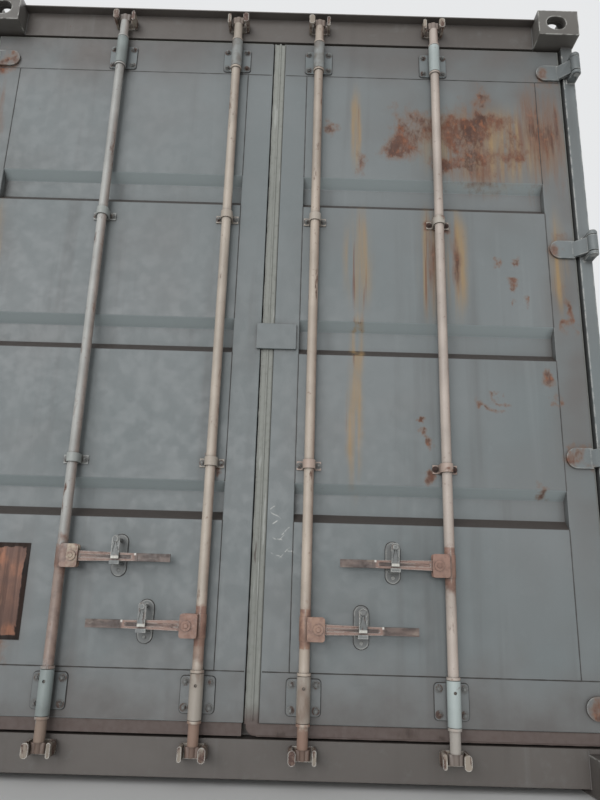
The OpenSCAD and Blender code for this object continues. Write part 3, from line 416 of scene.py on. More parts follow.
def handle_paint(number):
    """A handle: brown bar with a line of painted shade in its pressed groove that widens outward, a darker
    grip, and a painted highlight at the grip's start.
    """
    p = Paint("handle_%d_finish" % number)
    body, gone, fine = metal_look(p, srgb(146, 118, 106), srgb(108, 84, 74), 0.56, 40, (0.4, 1, 1), rim=0.5)
    out = p.math("MULTIPLY", p.math("SUBTRACT", p.part("X"), ROD_X[number]), POINTS[number])
    up = p.math("SUBTRACT", p.part("Z"), HANDLE_Z[number])
    grip = p.mix(p.step(p.noise(44, 5, stretch=(0.4, 1, 1), shift=17), 0.38, 0.60), srgb(98, 86, 80),
                 srgb(50, 43, 41))
    pale = p.step(p.noise(26, 4, stretch=(0.5, 1, 1), shift=28), 0.54, 0.66)
    grip = p.mix(p.times(pale, 0.6), grip, srgb(142, 130, 118))
    body = p.mix(p.times(p.step(out, 0.240, 0.250), 0.85), body, grip)
    # Painted shade: the dark line along the pressed groove
    widening = p.step(out, 0.09, 0.21, 0.0006, 0.0062)
    line = p.math("SUBTRACT", widening, p.math("ABSOLUTE", up))
    pressed = p.times(p.step(line, -0.0006, 0.0010), p.between(out, 0.085, 0.232, 0.004))
    body = p.mix(p.times(pressed, 0.8), body, srgb(50, 40, 37))
    # Painted highlight: a small bright spot on top of the bar where the grip starts
    wear_and_highlight = p.times(p.between(out, 0.243, 0.249, 0.0015), p.step(up, 0.004, 0.008))
    body = p.mix(p.times(wear_and_highlight, 0.9), body, srgb(214, 210, 202))
    return metal_finish(p, body, gone, fine)


def catch_paint(number):
    """A catch in the door's colour, rubbed bright at its lower end."""
    p = Paint("catch_%d_finish" % number)
    pivot_z = HANDLE_Z[number] + CATCH_UP
    body, gone, fine = metal_look(p, srgb(112, 115, 114), srgb(92, 84, 78), 0.54, 60, rim=0.8)
    rubbed = p.step(p.part("Z"), pivot_z - 0.050, pivot_z - 0.055)
    body = p.mix(p.times(rubbed, 0.85), body, srgb(190, 188, 180))
    return metal_finish(p, body, gone, fine, 0.4, 0.15)


def guide_finish(name):
    """Pale sleeves on plates in the door's colour, and rusty straps on the outer right rod."""
    p = Paint(name)
    outer, gone, fine = metal_look(p, srgb(176, 186, 184), srgb(124, 118, 110), 0.66)
    shaded = p.mix(p.step(p.noise(7, 4, shift=29), 0.35, 0.65), srgb(140, 149, 147), srgb(120, 126, 124))
    outer = p.mix(p.step(p.part("X"), 0.1, -0.1), outer, shaded)
    dirty = p.mix(p.step(p.noise(14, 5, stretch=(1, 1, 0.4), shift=19), 0.42, 0.62), srgb(160, 152, 142),
                  srgb(128, 112, 100))
    upper = p.mix(p.step(p.noise(20, 4, shift=26), 0.4, 0.65), srgb(134, 137, 135), srgb(112, 108, 103))
    inner = p.mix(p.step(p.part("Z"), 2.3, 2.4), dirty, upper)
    body = p.mix(p.step(p.math("ABSOLUTE", p.part("X")), 0.35, 0.45), inner, outer)
    plate = p.mix(p.step(p.noise(3, 4, shift=1), 0.35, 0.65), GREY, GREY_TEAL)
    plate = p.mix(p.times(p.step(p.part("Z"), 0.5, 0.05), 0.4), plate, BROWN_GREY)
    body = p.mix(p.step(p.part("Y"), FACE_Y - 0.013, FACE_Y - 0.009), body, plate)
    strap = p.mix(p.step(p.part("X"), -0.3, -0.2), srgb(158, 161, 157), srgb(172, 162, 150))
    body = p.mix(p.times(p.between(p.part("Z"), 0.9, 2.1, 0.01), 0.85), body, strap)
    pink = p.times(p.between(p.part("Z"), 0.97, 1.02, 0.004), p.step(p.part("X"), 0.05, 0.1))
    body = p.mix(p.times(pink, 0.8), body, srgb(172, 150, 138))
    film, torn = torn_rust(p, STRAP_RUST, 1.0)
    body = p.mix(p.times(film, 0.5), body, RUST_FILM)
    body = p.mix(torn, body, rust_colour(p))
    # Painted shade, with dirt, in the crevices
    body = p.mix(p.times(p.crevice_shade_and_dirt(0.014), 0.8), body, GRIME_AND_SHADE)
    return metal_finish(p, body, gone, fine)


def rubber(name):
    """Seal rubber, painted over with the doors, dirty along the bottom."""
    p = Paint(name)
    fine = p.noise(60, 5, shift=5)
    cloud = p.noise(3, 4, stretch=(1, 1, 0.3), shift=1)
    body = p.mix(p.step(cloud, 0.3, 0.7), srgb(140, 142, 136), srgb(124, 126, 121))
    body = p.mix(p.times(p.step(fine, 0.55, 0.75), 0.3), body, srgb(96, 96, 90))
    scuffs = p.noise(40, 3, stretch=(1, 1, 0.1), shift=3)
    body = p.mix(p.times(p.step(scuffs, 0.64, 0.70), 0.45), body, srgb(176, 178, 174))
    low = p.math("ADD", p.step(p.part("Z"), 0.30, 0.15), p.math("MULTIPLY", p.noise(9, 5, shift=4), 0.4))
    body = p.mix(p.times(p.step(low, 0.5, 1.1), 0.9), body, srgb(84, 69, 65))
    film, torn = torn_rust(p, SEAL_MARKS, 0.3)
    body = p.mix(p.times(film, 0.6), body, srgb(80, 68, 62))
    body = p.mix(p.times(torn, 0.6), body, srgb(52, 40, 36))
    # Painted shade, with dirt, in the crevices
    body = p.mix(p.times(p.crevice_shade_and_dirt(0.008), 0.4), body, GRIME_AND_SHADE)
    return p.finish(body, p.step(fine, 0.3, 0.7, 0.6, 0.8), fine, 0.25, 0.001)


def plywood(name):
    p = Paint(name)
    grain = p.noise(22, 6, stretch=(1, 0.05, 1), shift=1)
    cloud = p.noise(2.2, 4, stretch=(1, 0.5, 1), shift=5)
    body = p.mix(p.step(grain, 0.35, 0.65), srgb(112, 78, 50), srgb(146, 106, 70))
    body = p.mix(p.times(p.step(cloud, 0.48, 0.68), 0.6), body, srgb(78, 58, 42))
    scuffs = p.noise(11, 5, stretch=(1, 0.2, 1), shift=9)
    body = p.mix(p.times(p.step(scuffs, 0.62, 0.7), 0.5), body, srgb(48, 40, 34))
    return p.finish(body, p.step(grain, 0.3, 0.7, 0.55, 0.75), grain, 0.35, 0.001)


def coating(name):
    p = Paint(name)
    lumps = p.noise(50, 5, shift=2)
    cloud = p.noise(2.5, 5, shift=6)
    body = p.mix(p.step(cloud, 0.35, 0.7), srgb(34, 34, 34), srgb(58, 54, 50))
    body = p.mix(p.times(p.step(p.noise(9, 6, shift=8), 0.6, 0.7), 0.7), body, srgb(104, 76, 58))
    return p.finish(body, p.step(lumps, 0.3, 0.7, 0.62, 0.85), lumps, 0.5, 0.002)


def bare_plate(name):
    """The blank metal plate, brushed downward, with its ragged dark border of sealant and rust. Its warm brown
    tone and its bright streaks and patches are a painted warm reflection.
    """
    p = Paint(name)
    low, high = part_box("data_plate")
    cloud = p.noise(7, 5, shift=2)
    brushed = p.noise(80, 4, stretch=(1, 1, 0.05), shift=5)
    # Painted reflection: the warm brown tone of the metal
    body = p.mix(p.step(cloud, 0.35, 0.65), srgb(112, 76, 58), srgb(80, 57, 48))
    body = p.mix(p.times(p.step(brushed, 0.44, 0.60), 0.6), body, srgb(60, 42, 36))
    # Painted highlight: bright streaks along the brushing, and brighter orange patches
    body = p.mix(p.times(p.step(brushed, 0.62, 0.74), 0.45), body, srgb(160, 122, 96))
    warm_reflection_patches = p.step(p.noise(14, 4, stretch=(1, 1, 0.5), shift=12), 0.56, 0.72)
    body = p.mix(p.times(warm_reflection_patches, 0.5), body, srgb(146, 94, 66))
    at = p.pushed(p.pushed(p.coords, 16, 0.03), 70, 0.012)
    across, up = p.part("X", at), p.part("Z", at)
    rim, fade = 0.013, 0.004
    edge = p.most([p.step(across, low.x + rim + fade, low.x + rim),
                   p.step(across, high.x - rim - fade, high.x - rim),
                   p.step(up, low.z + rim + fade, low.z + rim),
                   p.step(up, high.z - rim - fade, high.z - rim)])
    body = p.mix(edge, body, p.mix(p.step(cloud, 0.4, 0.6), srgb(20, 16, 14), srgb(40, 27, 21)))
    metallic = p.step(edge, 0.2, 0.8, 0.45, 0.0)
    rough = p.math("ADD", p.step(brushed, 0.3, 0.7, 0.30, 0.50), p.math("MULTIPLY", edge, 0.5), clamp=True)
    return p.finish(body, rough, brushed, 0.3, 0.002, metallic)


# Middle and reach of each rusty or stained place on the doors, in X and Z
RIGHT_RUST = [((0.56, 2.385), (0.17, 0.13)), ((0.49, 2.28), (0.11, 0.11)), ((0.69, 2.37), (0.12, 0.10)),
              ((0.78, 2.37), (0.16, 0.19)), ((0.82, 2.53), (0.10, 0.06)), ((0.83, 2.23), (0.23, 0.12)),
              ((0.68, 2.22), (0.12, 0.08)), ((0.97, 2.28), (0.12, 0.11)), ((0.90, 2.40), (0.14, 0.10)),
              ((0.232, 2.378), (0.06, 0.05)), ((0.339, 2.20), (0.045, 0.10)), ((0.61, 1.93), (0.07, 0.04)),
              ((0.69, 1.91), (0.07, 0.05)), ((0.875, 1.80), (0.035, 0.035)), ((0.93, 1.79), (0.02, 0.04)),
              ((0.90, 1.70), (0.045, 0.025)), ((0.95, 1.66), (0.03, 0.04)), ((0.88, 1.63), (0.02, 0.02)),
              ((0.97, 0.945), (0.05, 0.035)), ((1.10, 1.86), (0.10, 0.08)), ((1.10, 1.06), (0.08, 0.07)),
              ((1.10, 2.63), (0.08, 0.07)), ((0.60, 0.985), (0.05, 0.03)), ((0.575, 1.11), (0.03, 0.03)),
              ((0.575, 1.16), (0.02, 0.03)), ((1.01, 1.33), (0.035, 0.06)), ((1.05, 1.23), (0.03, 0.05)),
              ((1.12, 1.60), (0.03, 0.14)), ((0.80, 1.235), (0.05, 0.025)), ((0.86, 1.265), (0.04, 0.02))]
RIGHT_RUNS = [((1.07, 2.36), (0.17, 0.38)), ((0.615, 1.78), (0.04, 0.26)), ((0.70, 1.78), (0.035, 0.24)),
              ((0.80, 2.18), (0.20, 0.14))]
RIGHT_STAINS = [((0.335, 1.79), (0.085, 0.33)), ((0.322, 2.36), (0.035, 0.28)), ((0.60, 1.79), (0.06, 0.34)),
                ((0.705, 1.79), (0.065, 0.34)), ((0.85, 2.30), (0.42, 0.26)), ((0.322, 1.17), (0.045, 0.38)),
                ((1.09, 1.80), (0.05, 0.30)), ((0.335, 1.45), (0.04, 0.22))]
RIGHT_BROWN = [((0.95, 2.50), (0.75, 0.90)), ((1.12, 1.60), (0.16, 1.60)), ((0.75, 2.75), (0.9, 0.35))]
LEFT_BROWN = [((-1.12, 1.40), (0.22, 1.80)), ((-0.79, 0.56), (0.10, 0.30)), ((-0.75, 2.75), (0.9, 0.35))]
# Middle, half length, slope and wave of each bright scratch beside the seal
SCUFFS = [(0.058, 0.826, 0.022, -0.70, 0.003), (0.092, 0.772, 0.020, 0.80, 0.003),
          (0.070, 0.746, 0.022, -0.35, 0.003), (0.066, 0.694, 0.022, -0.45, 0.002),
          (0.092, 0.702, 0.020, 0.95, 0.002), (0.046, 0.850, 0.012, 0.60, 0.001),
          (0.112, 0.708, 0.014, -0.35, 0.002), (0.058, 0.802, 0.012, 0.50, 0.001),
          (0.082, 0.752, 0.012, 0.90, 0.001)]
LEFT_RUST = [((-0.17, 0.985), (0.04, 0.03)), ((-1.10, 1.06), (0.08, 0.07)),
             ((-1.10, 1.86), (0.10, 0.08)), ((-1.10, 2.63), (0.08, 0.07)), ((-0.90, 0.37), (0.18, 0.04))]
LEFT_RUNS = [((-1.12, 2.30), (0.05, 0.35))]
LEFT_STAINS = [((-1.05, 1.72), (0.06, 0.40))]
STRAP_RUST = [((x, z), (0.06, 0.022)) for x in (0.59, 0.68) for z in STRAPS]
SEAL_MARKS = [((0.497, 0.158), (0.06, 0.045)), ((-0.004, 0.70), (0.007, 0.07)), ((0.10, 0.150), (0.04, 0.02)),
              ((0.60, 0.150), (0.03, 0.015)), ((-0.002, 1.47), (0.008, 0.03))]

frame_paint = worn_paint("frame_paint", spots=0.7, wear_and_highlight=0.85, corners=0.6)
rail_paint = worn_paint("rail_paint", colour=srgb(92, 87, 83), other=srgb(78, 73, 69), spots=0.8, corners=0.5,
                        bottom_dirt_top_shade=False, dust_and_shade=0.6)
door_paint_right = worn_paint("door_paint_right", rust_at=RIGHT_RUST, runs_at=RIGHT_RUNS, stains=RIGHT_STAINS,
                              spots=0.3, dust_and_shade=0.95, scuffs=SCUFFS, corners=0.6, underside_light=0.85,
                              browned=RIGHT_BROWN)
door_paint_left = worn_paint("door_paint_left", rust_at=LEFT_RUST, runs_at=LEFT_RUNS, stains=LEFT_STAINS,
                             spots=0.2, dust_and_shade=0.95, corners=0.6, underside_light=0.85, browned=LEFT_BROWN)
wall_paint = worn_paint("wall_paint", spots=0.6, streaks=0.45)
roof_paint = worn_paint("roof_paint", spots=0.9, dust_and_shade=0.25, bottom_dirt_top_shade=False)
casting_paint = worn_paint("casting_paint", colour=srgb(130, 130, 126), other=srgb(108, 105, 100), spots=1.0,
                           wear_and_highlight=0.9, corners=0.7)
blade_paint = worn_paint("blade_paint", spots=0.8, wear_and_highlight=0.5, corners=0.6, rust_at=[
    ((side * 1.08, z), (0.06, 0.07)) for side in (-1, 1) for z in (0.25, 1.05, 1.85, 2.65)])
guide_paint = guide_finish("guide_paint")
retainer_paint = worn_paint("retainer_paint", colour=srgb(120, 124, 124), other=srgb(104, 106, 105), spots=0.6,
                            wear_and_highlight=0.6, corners=0.5)
keeper_finish = worn_metal("keeper_finish", srgb(150, 139, 126), srgb(98, 76, 64), 0.47, scale=34, rim=0.9)
ROD_FINISH = {
    1: rod_finish(1, srgb(172, 172, 168), srgb(172, 158, 138), 0.33, srgb(142, 122, 108), 0.026),
    2: rod_finish(2, srgb(184, 173, 160), srgb(144, 110, 95), 0.35, srgb(142, 116, 102)),
    3: rod_finish(3, srgb(184, 171, 157), srgb(154, 122, 104), 0.42, srgb(140, 112, 98)),
    4: rod_finish(4, srgb(186, 174, 164), srgb(146, 113, 99), 0.60, srgb(170, 165, 158)),
}
bolt_finish = worn_metal("bolt_finish", srgb(118, 120, 118), srgb(90, 74, 64), 0.50, scale=60)
rusty_bolt = worn_metal("rusty_bolt", srgb(70, 52, 44), srgb(52, 40, 36), 0.40, 0.75, scale=70)
pin_finish = worn_metal("pin_finish", srgb(164, 166, 164), srgb(112, 100, 90), 0.55, 0.4, 0.4, 60)
seal_rubber = rubber("seal_rubber")
floor_wood = plywood("floor_wood")
under_coat = coating("under_coat")
plate_metal = bare_plate("plate_metal")
seam_finish = worn_paint("seam_finish", colour=srgb(58, 57, 55), other=srgb(42, 40, 38), spots=1.0,
                         bottom_dirt_top_shade=False)
weld_finish = worn_paint("weld_finish", colour=srgb(104, 107, 107), other=srgb(88, 88, 86), spots=1.0)
vent_finish = worn_paint("vent_finish", colour=srgb(170, 174, 170), other=srgb(146, 150, 146), spots=0.0,
                         bottom_dirt_top_shade=False)


# Dress the solids that stay, with softened edges

def dress(node, material, edge=0.0):
    """Gives a CAD node its material, and edges rounded to a width."""
    obj = NODES[node]
    obj.data.materials.clear()
    obj.data.materials.append(material)
    if edge:
        weld = obj.modifiers.new("join", "WELD")
        weld.merge_threshold = 0.00005
        bevel = obj.modifiers.new("edge", "BEVEL")
        bevel.width = edge
        bevel.segments = 2
        bevel.limit_method = "ANGLE"
        bevel.angle_limit = math.radians(40)
        bevel.use_clamp_overlap = True


# Material and edge width in millimetres of each CAD node that stays
DRESSING = {
    "rear_corner_castings": (casting_paint, 6), "front_corner_castings": (casting_paint, 6),
    "rear_posts": (frame_paint, 2.5), "front_posts": (frame_paint, 2.5), "door_header": (rail_paint, 2),
    "door_sill": (rail_paint, 2), "front_top_rail": (frame_paint, 1), "front_bottom_rail": (frame_paint, 1.5),
    "top_side_rails": (frame_paint, 1.2), "bottom_side_rails": (frame_paint, 1.5),
    "roof": (roof_paint, 0), "floor_boards": (floor_wood, 1.5), "cross_members": (under_coat, 0),
    "gooseneck_tunnel": (under_coat, 0), "cam_keepers": (keeper_finish, 3), "hinge_pins": (pin_finish, 1.5),
    "vents": (vent_finish, 2),
    "left_door_frame": (door_paint_left, 2.5), "right_door_frame": (door_paint_right, 2.5),
    "left_door_seal": (seal_rubber, 5), "right_door_seal": (seal_rubber, 5),
    "left_hinge_blades": (blade_paint, 2.5), "right_hinge_blades": (blade_paint, 2.5),
    "left_rod_guides": (guide_paint, 0), "right_rod_guides": (guide_paint, 0),
    "left_handle_retainers": (retainer_paint, 1.2), "right_handle_retainers": (retainer_paint, 1.2),
    "data_plate": (plate_metal, 0.5), "overlap_plate": (door_paint_right, 1.5),
}
for number in POINTS:
    DRESSING["lock_rod_%d" % number] = (ROD_FINISH[number], 1.5)
    DRESSING["handle_%d" % number] = (handle_paint(number), 1.6)
    DRESSING["catch_%d" % number] = (catch_paint(number), 0.8)
for node, (material, edge_mm) in DRESSING.items():
    dress(node, material, edge_mm * MM)


# New pieces

def link(name, mesh, material, body):
    """Makes a new piece of a mesh, and lets it ride on a body."""
    obj = bpy.data.objects.new(name, mesh)
    bpy.context.scene.collection.objects.link(obj)
    mesh.materials.append(material)
    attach(obj, body)
    return obj


def smooth_by_angle(mesh, degrees=35):
    for face in mesh.polygons:
        face.use_smooth = True
    mesh.set_sharp_from_angle(angle=math.radians(degrees))


def rounded(points, radius, steps=4):
    """The polyline of 2-D points with each inner corner turned into an arc."""
    out = [points[0]]
    for before, at, after in zip(points, points[1:], points[2:]):
        here = Vector(at)
        to_a, to_b = Vector(before) - here, Vector(after) - here
        angle = to_a.angle(to_b)
        if math.pi - angle < 0.05:
            out.append(at)
            continue
        cut = min(radius / math.tan(angle / 2), to_a.length * 0.49, to_b.length * 0.49)
        start, end = here + to_a.normalized() * cut, here + to_b.normalized() * cut
        for i in range(steps + 1):
            t = i / steps
            out.append(tuple((1 - t) ** 2 * start + 2 * t * (1 - t) * here + t * t * end))
    out.append(points[-1])
    return out


def folded_sheet(name, line, thick, place, length):
    """A sheet along a 2-D line, thick behind it, extruded by length. Place gives a point from u, v, w."""
    front = [Vector(p) for p in line]
    back = []
    for i, p in enumerate(front):
        a, b = front[max(i - 1, 0)], front[min(i + 1, len(front) - 1)]
        along = (b - a).normalized()
        back.append(p + Vector((-along.y, along.x)) * thick)

    def build(bm):
        (f0, b0), (f1, b1) = [
            [[bm.verts.new(place(p.x, p.y, w)) for p in layer] for layer in (front, back)] for w in (0, length)]
        for i in range(len(front) - 1):
            bm.faces.new((f0[i], f0[i + 1], f1[i + 1], f1[i]))
            bm.faces.new((b0[i + 1], b0[i], b1[i], b1[i + 1]))
        bm.faces.new((f0[0], f1[0], b1[0], b0[0]))
        bm.faces.new((f0[-1], b0[-1], b1[-1], f1[-1]))
        for f, b in ((f0, b0), (f1, b1)):
            for i in range(len(front) - 1):
                bm.faces.new((f[i], b[i], b[i + 1], f[i + 1]))

    return made_mesh(name, build)


def prism(bm, centre, axis, radius, length, sides, chamfer=0.0):
    """A closed prism or short cylinder along axis from centre, with a chamfered far end."""
    axis = Vector(axis).normalized()
    turn = Vector((0, 0, 1)).rotation_difference(axis).to_matrix().to_4x4()
    rings = [(0, radius), (length - chamfer, radius)] + ([(length, radius - chamfer)] if chamfer else [])
    made = []
    for along, r in rings:
        made.append([bm.verts.new(Matrix.Translation(centre) @ turn @ Vector(
            (r * math.cos(2 * math.pi * i / sides), r * math.sin(2 * math.pi * i / sides), along)))
            for i in range(sides)])
    for a, b in zip(made, made[1:]):
        for i in range(sides):
            j = (i + 1) % sides
            bm.faces.new((a[i], a[j], b[j], b[i]))
    bm.faces.new(list(reversed(made[0])))
    bm.faces.new(made[-1])


def made_mesh(name, build, degrees=35):
    mesh = bpy.data.meshes.new(name)
    bm = bmesh.new()
    build(bm)
    bmesh.ops.recalc_face_normals(bm, faces=bm.faces)
    bm.to_mesh(mesh)
    bm.free()
    smooth_by_angle(mesh, degrees)
    return mesh


OUT = (0, -1, 0)


def bolt(bm, at, axis=OUT, size=8.5 * MM):
    prism(bm, Vector(at), axis, size * 1.5, 1.6 * MM, 20, 0.4 * MM)
    prism(bm, Vector(at) + Vector(axis) * 1.6 * MM, axis, size, 6 * MM, 6, 1 * MM)
    prism(bm, Vector(at) + Vector(axis) * 7.6 * MM, axis, size * 0.55, 4 * MM, 14, 1 * MM)


def rivet(bm, at, axis=OUT, radius=7 * MM):
    prism(bm, Vector(at), axis, radius, 2.5 * MM, 18, 1.2 * MM)
    prism(bm, Vector(at) + Vector(axis) * 2.5 * MM, axis, radius * 0.6, 1.2 * MM, 18, 0.8 * MM)


def bead(bm, start, end, radius, sides=6, wobble=0.0):
    """A weld or sealant bead from start to end, lightly uneven."""
    start, end = Vector(start), Vector(end)
    along = (end - start).normalized()
    side = along.orthogonal().normalized()
    up = along.cross(side)
    count = max(2, int((end - start).length / 0.02)) if wobble else 1
    rings = []
    for k in range(count + 1):
        at = start.lerp(end, k / count)
        r = radius * (1 + random.uniform(-wobble, wobble))
        rings.append([bm.verts.new(at + (side * math.cos(2 * math.pi * i / sides)
                                         + up * math.sin(2 * math.pi * i / sides)) * r) for i in range(sides)])
    for a, b in zip(rings, rings[1:]):
        for i in range(sides):
            j = (i + 1) % sides
            bm.faces.new((a[i], a[j], b[j], b[i]))
    bm.faces.new(list(reversed(rings[0])))
    bm.faces.new(rings[-1])


# Door panels with rounded folds
def panel_line(low, high):
    """A panel's outline in Y and Z, pressed in at each groove."""
    line = [(low.y, low.z)]
    for top in GROOVES:
        bottom = top - GROOVE_H
        line += [(low.y, bottom), (low.y + GROOVE_DEPTH, bottom + SLOPE_LOW),
                 (low.y + GROOVE_DEPTH, top - SLOPE_HIGH), (low.y, top)]
    return line + [(low.y, high.z)]


for side, material in (("left", door_paint_left), ("right", door_paint_right)):
    low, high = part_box(side + "_door_panel")
    line = rounded(panel_line(low, high), 0.006)
    mesh = folded_sheet(side + "_pressed_panel", line, -DOOR_SHEET,
                        lambda u, v, w, x=low.x: (x + w, u, v), high.x - low.x)
    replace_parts(link(side + "_pressed_panel", mesh, material, side + "_door"),
                side + "_door_panel")


# Side and front walls with rounded folds
def wave(count, flat, slope, deep, full):
    """One run of corrugations centred on 0, crests at 0 and hollows at minus deep."""
    run = count * 2 * (flat + slope)
    line = [(-full / 2, 0)]
    for i in range(count):
        at = -run / 2 + i * 2 * (flat + slope) + flat / 2
        line += [(at, 0), (at + slope, -deep), (at + slope + flat, -deep), (at + 2 * slope + flat, 0)]
    return line + [(full / 2, 0)]


side_wave = wave(count=42, flat=0.072, slope=0.067, deep=0.036, full=SIDE_HIGH.y - SIDE_LOW.y)
side_line = rounded(side_wave, 0.012, 3)
for side, sign in (("left", -1), ("right", 1)):
    face_x = SIDE_HIGH.x * sign
    mesh = folded_sheet(side + "_side_wall", side_line, -SIDE_SHEET,
                        lambda u, v, w, x=face_x, s=sign: (x + v * s, u, SIDE_LOW.z + w),
                        SIDE_HIGH.z - SIDE_LOW.z)
    piece = link(side + "_side_wall", mesh, wall_paint, "box_frame")
    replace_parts(piece, "side_walls")
front_wave = wave(count=9, flat=0.104, slope=0.021, deep=0.0456, full=FRONT_HIGH.x - FRONT_LOW.x)
front_line = rounded(front_wave, 0.010, 3)
mesh = folded_sheet("front_corrugated_wall", front_line, -FRONT_SHEET,
                    lambda u, v, w: (u, FRONT_HIGH.y + v, FRONT_LOW.z + w), FRONT_HIGH.z - FRONT_LOW.z)
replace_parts(link("front_corrugated_wall", mesh, wall_paint, "box_frame"), "front_wall")


# Bolts of the rod guides. Those of the straps on the rightmost rod are rusty.
RUSTY_ROD = 4
STRAP_BOLT_X = 0.032
FOOT_BOLT_X, FOOT_BOLT_Z = 0.040, 0.038


def strap_bolts(bm, number):
    for z in STRAPS:
        for dx in (-STRAP_BOLT_X, STRAP_BOLT_X):
            bolt(bm, (ROD_X[number] + dx, PLATE_FACE, z), size=7.5 * MM)


def guide_bolts(bm, numbers):
    for number in numbers:
        if number != RUSTY_ROD:
            strap_bolts(bm, number)
        for z in SLEEVES:
            for dx in (-FOOT_BOLT_X, FOOT_BOLT_X):
                for dz in (-FOOT_BOLT_Z, FOOT_BOLT_Z):
                    bolt(bm, (ROD_X[number] + dx, PLATE_FACE, z + dz))


LEAF_RODS = (("left", (1, 2)), ("right", (3, 4)))
for side, numbers in LEAF_RODS:
    mesh = made_mesh(side + "_guide_bolts", lambda bm: guide_bolts(bm, numbers))
    link(side + "_guide_bolts", mesh, bolt_finish, side + "_door")
mesh = made_mesh("rusty_strap_bolts", lambda bm: strap_bolts(bm, RUSTY_ROD))
link("rusty_strap_bolts", mesh, rusty_bolt, "right_door")

# Rivets on the handle pins and the retainers
HUB_HEAD_Y = REAR_Y + 2.5 * MM
CATCH_HEAD_Y = REAR_Y + 5.5 * MM
RETAINER_RIVET_DOWN = 0.042
for number in POINTS:
    at = Vector((ROD_X[number] + POINTS[number] * FORK_PIN, HUB_HEAD_Y, HANDLE_Z[number]))
    mesh = made_mesh("hub_rivet_%d" % number, lambda bm: prism(bm, at, OUT, 8 * MM, 2 * MM, 18, 1.5 * MM))
    link("hub_rivet_%d" % number, mesh, ROD_FINISH[number], "rod_%d" % number)


def retainer_rivets(bm, numbers):
    for number in numbers:
        x = ROD_X[number] + POINTS[number] * RETAINER_REACH
        z = HANDLE_Z[number]
        rivet(bm, (x, FACE_Y - 4 * MM, z - RETAINER_RIVET_DOWN), radius=6 * MM)
        prism(bm, Vector((x, CATCH_HEAD_Y, z + CATCH_UP)), OUT, 9 * MM, 3 * MM, 20, 1.2 * MM)


for side, numbers in LEAF_RODS:
    mesh = made_mesh(side + "_retainer_rivets", lambda bm: retainer_rivets(bm, numbers))
    link(side + "_retainer_rivets", mesh, retainer_paint, side + "_door")


# Paint and dirt lines round the foot plates and the retainers
def loop_points(x, z, half_w, half_h, r, steps=5):
    """The points of a rectangle with round corners, about x and z, in order."""
    points = []
    for turn, (sx, sz) in enumerate(((1, 1), (-1, 1), (-1, -1), (1, -1))):
        for i in range(steps + 1):
            angle = math.pi / 2 * (turn + i / steps)
            points.append((x + sx * (half_w - r) + r * math.cos(angle),
                           z + sz * (half_h - r) + r * math.sin(angle)))
    return points


def plate_outlines(bm, numbers):
    for number in numbers:
        x = ROD_X[number]
        loops = [loop_points(x, z, FOOT_HALF + 1 * MM, FOOT_H / 2 + 1 * MM, FOOT_R) for z in SLEEVES]
        loops.append(loop_points(x + POINTS[number] * RETAINER_REACH, HANDLE_Z[number] + RETAINER_LIFT,
                                 RETAINER_HALF + 1 * MM, RETAINER_H / 2 + 1 * MM, RETAINER_HALF))
        for loop in loops:
            for a, b in zip(loop, loop[1:] + loop[:1]):
                bead(bm, (a[0], FACE_Y, a[1]), (b[0], FACE_Y, b[1]), 1.6 * MM)


for side, numbers in LEAF_RODS:
    mesh = made_mesh(side + "_plate_outlines", lambda bm: plate_outlines(bm, numbers))
    link(side + "_plate_outlines", mesh, seam_finish, side + "_door")


# The rounded lip and rib of the middle seal, and the lip along its foot
def seal_lips(bm, low, high):
    lip_x, lip_y = low.x - 0.5 * MM, low.y + 5 * MM
    rib_x, rib_y = low.x + 20 * MM, low.y + 2 * MM
    foot_y, foot_z = low.y + 4 * MM, low.z + 1 * MM
    bead(bm, (lip_x, lip_y, low.z + 0.035), (lip_x, lip_y, high.z), 4 * MM, 10, 0.3)
    bead(bm, (rib_x, rib_y, low.z + 0.045), (rib_x, rib_y, high.z), 5 * MM, 10, 0.08)
    bead(bm, (low.x + 0.035, foot_y, foot_z), (high.x - 0.01, foot_y, foot_z), 3 * MM, 8, 0.25)


mesh = made_mesh("right_seal_lips", lambda bm: seal_lips(bm, *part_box("right_door_seal")), 60)
link("right_seal_lips", mesh, seal_rubber, "right_door")


# Seams between the panels and the leaf frames, and where rails meet stiles
def leaf_seams(bm, low, high, panel_low, panel_high):
    y = FACE_Y
    r = 1.6 * MM
    for z in (panel_low.z, panel_high.z):
        bead(bm, (low.x + 0.004, y, z), (high.x - 0.004, y, z), r, wobble=0.25)
    spans = [panel_low.z] + [z for top in GROOVES for z in (top - GROOVE_H, top)] + [panel_high.z]
    for x in (panel_low.x, panel_high.x):
        for a, b in zip(spans[::2], spans[1::2]):
            bead(bm, (x, y, a), (x, y, b), r, wobble=0.25)


for side, low, high in (("left", LEFT_LOW, LEFT_HIGH), ("right", LEAF_LOW, LEAF_HIGH)):
    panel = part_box(side + "_door_panel")
    mesh = made_mesh(side + "_leaf_seams", lambda bm: leaf_seams(bm, low, high, *panel))
    link(side + "_leaf_seams", mesh, seam_finish, side + "_door")


# Welds of the corner frames and along the rails
POST_RECESS = 0.070
REAR_POST_DEPTH, FRONT_POST_DEPTH = 0.108, 0.172
POST_IN = 0.045
REAR_POST_INSET = 3.8 * MM
SILL_WELD_TOP = 0.130


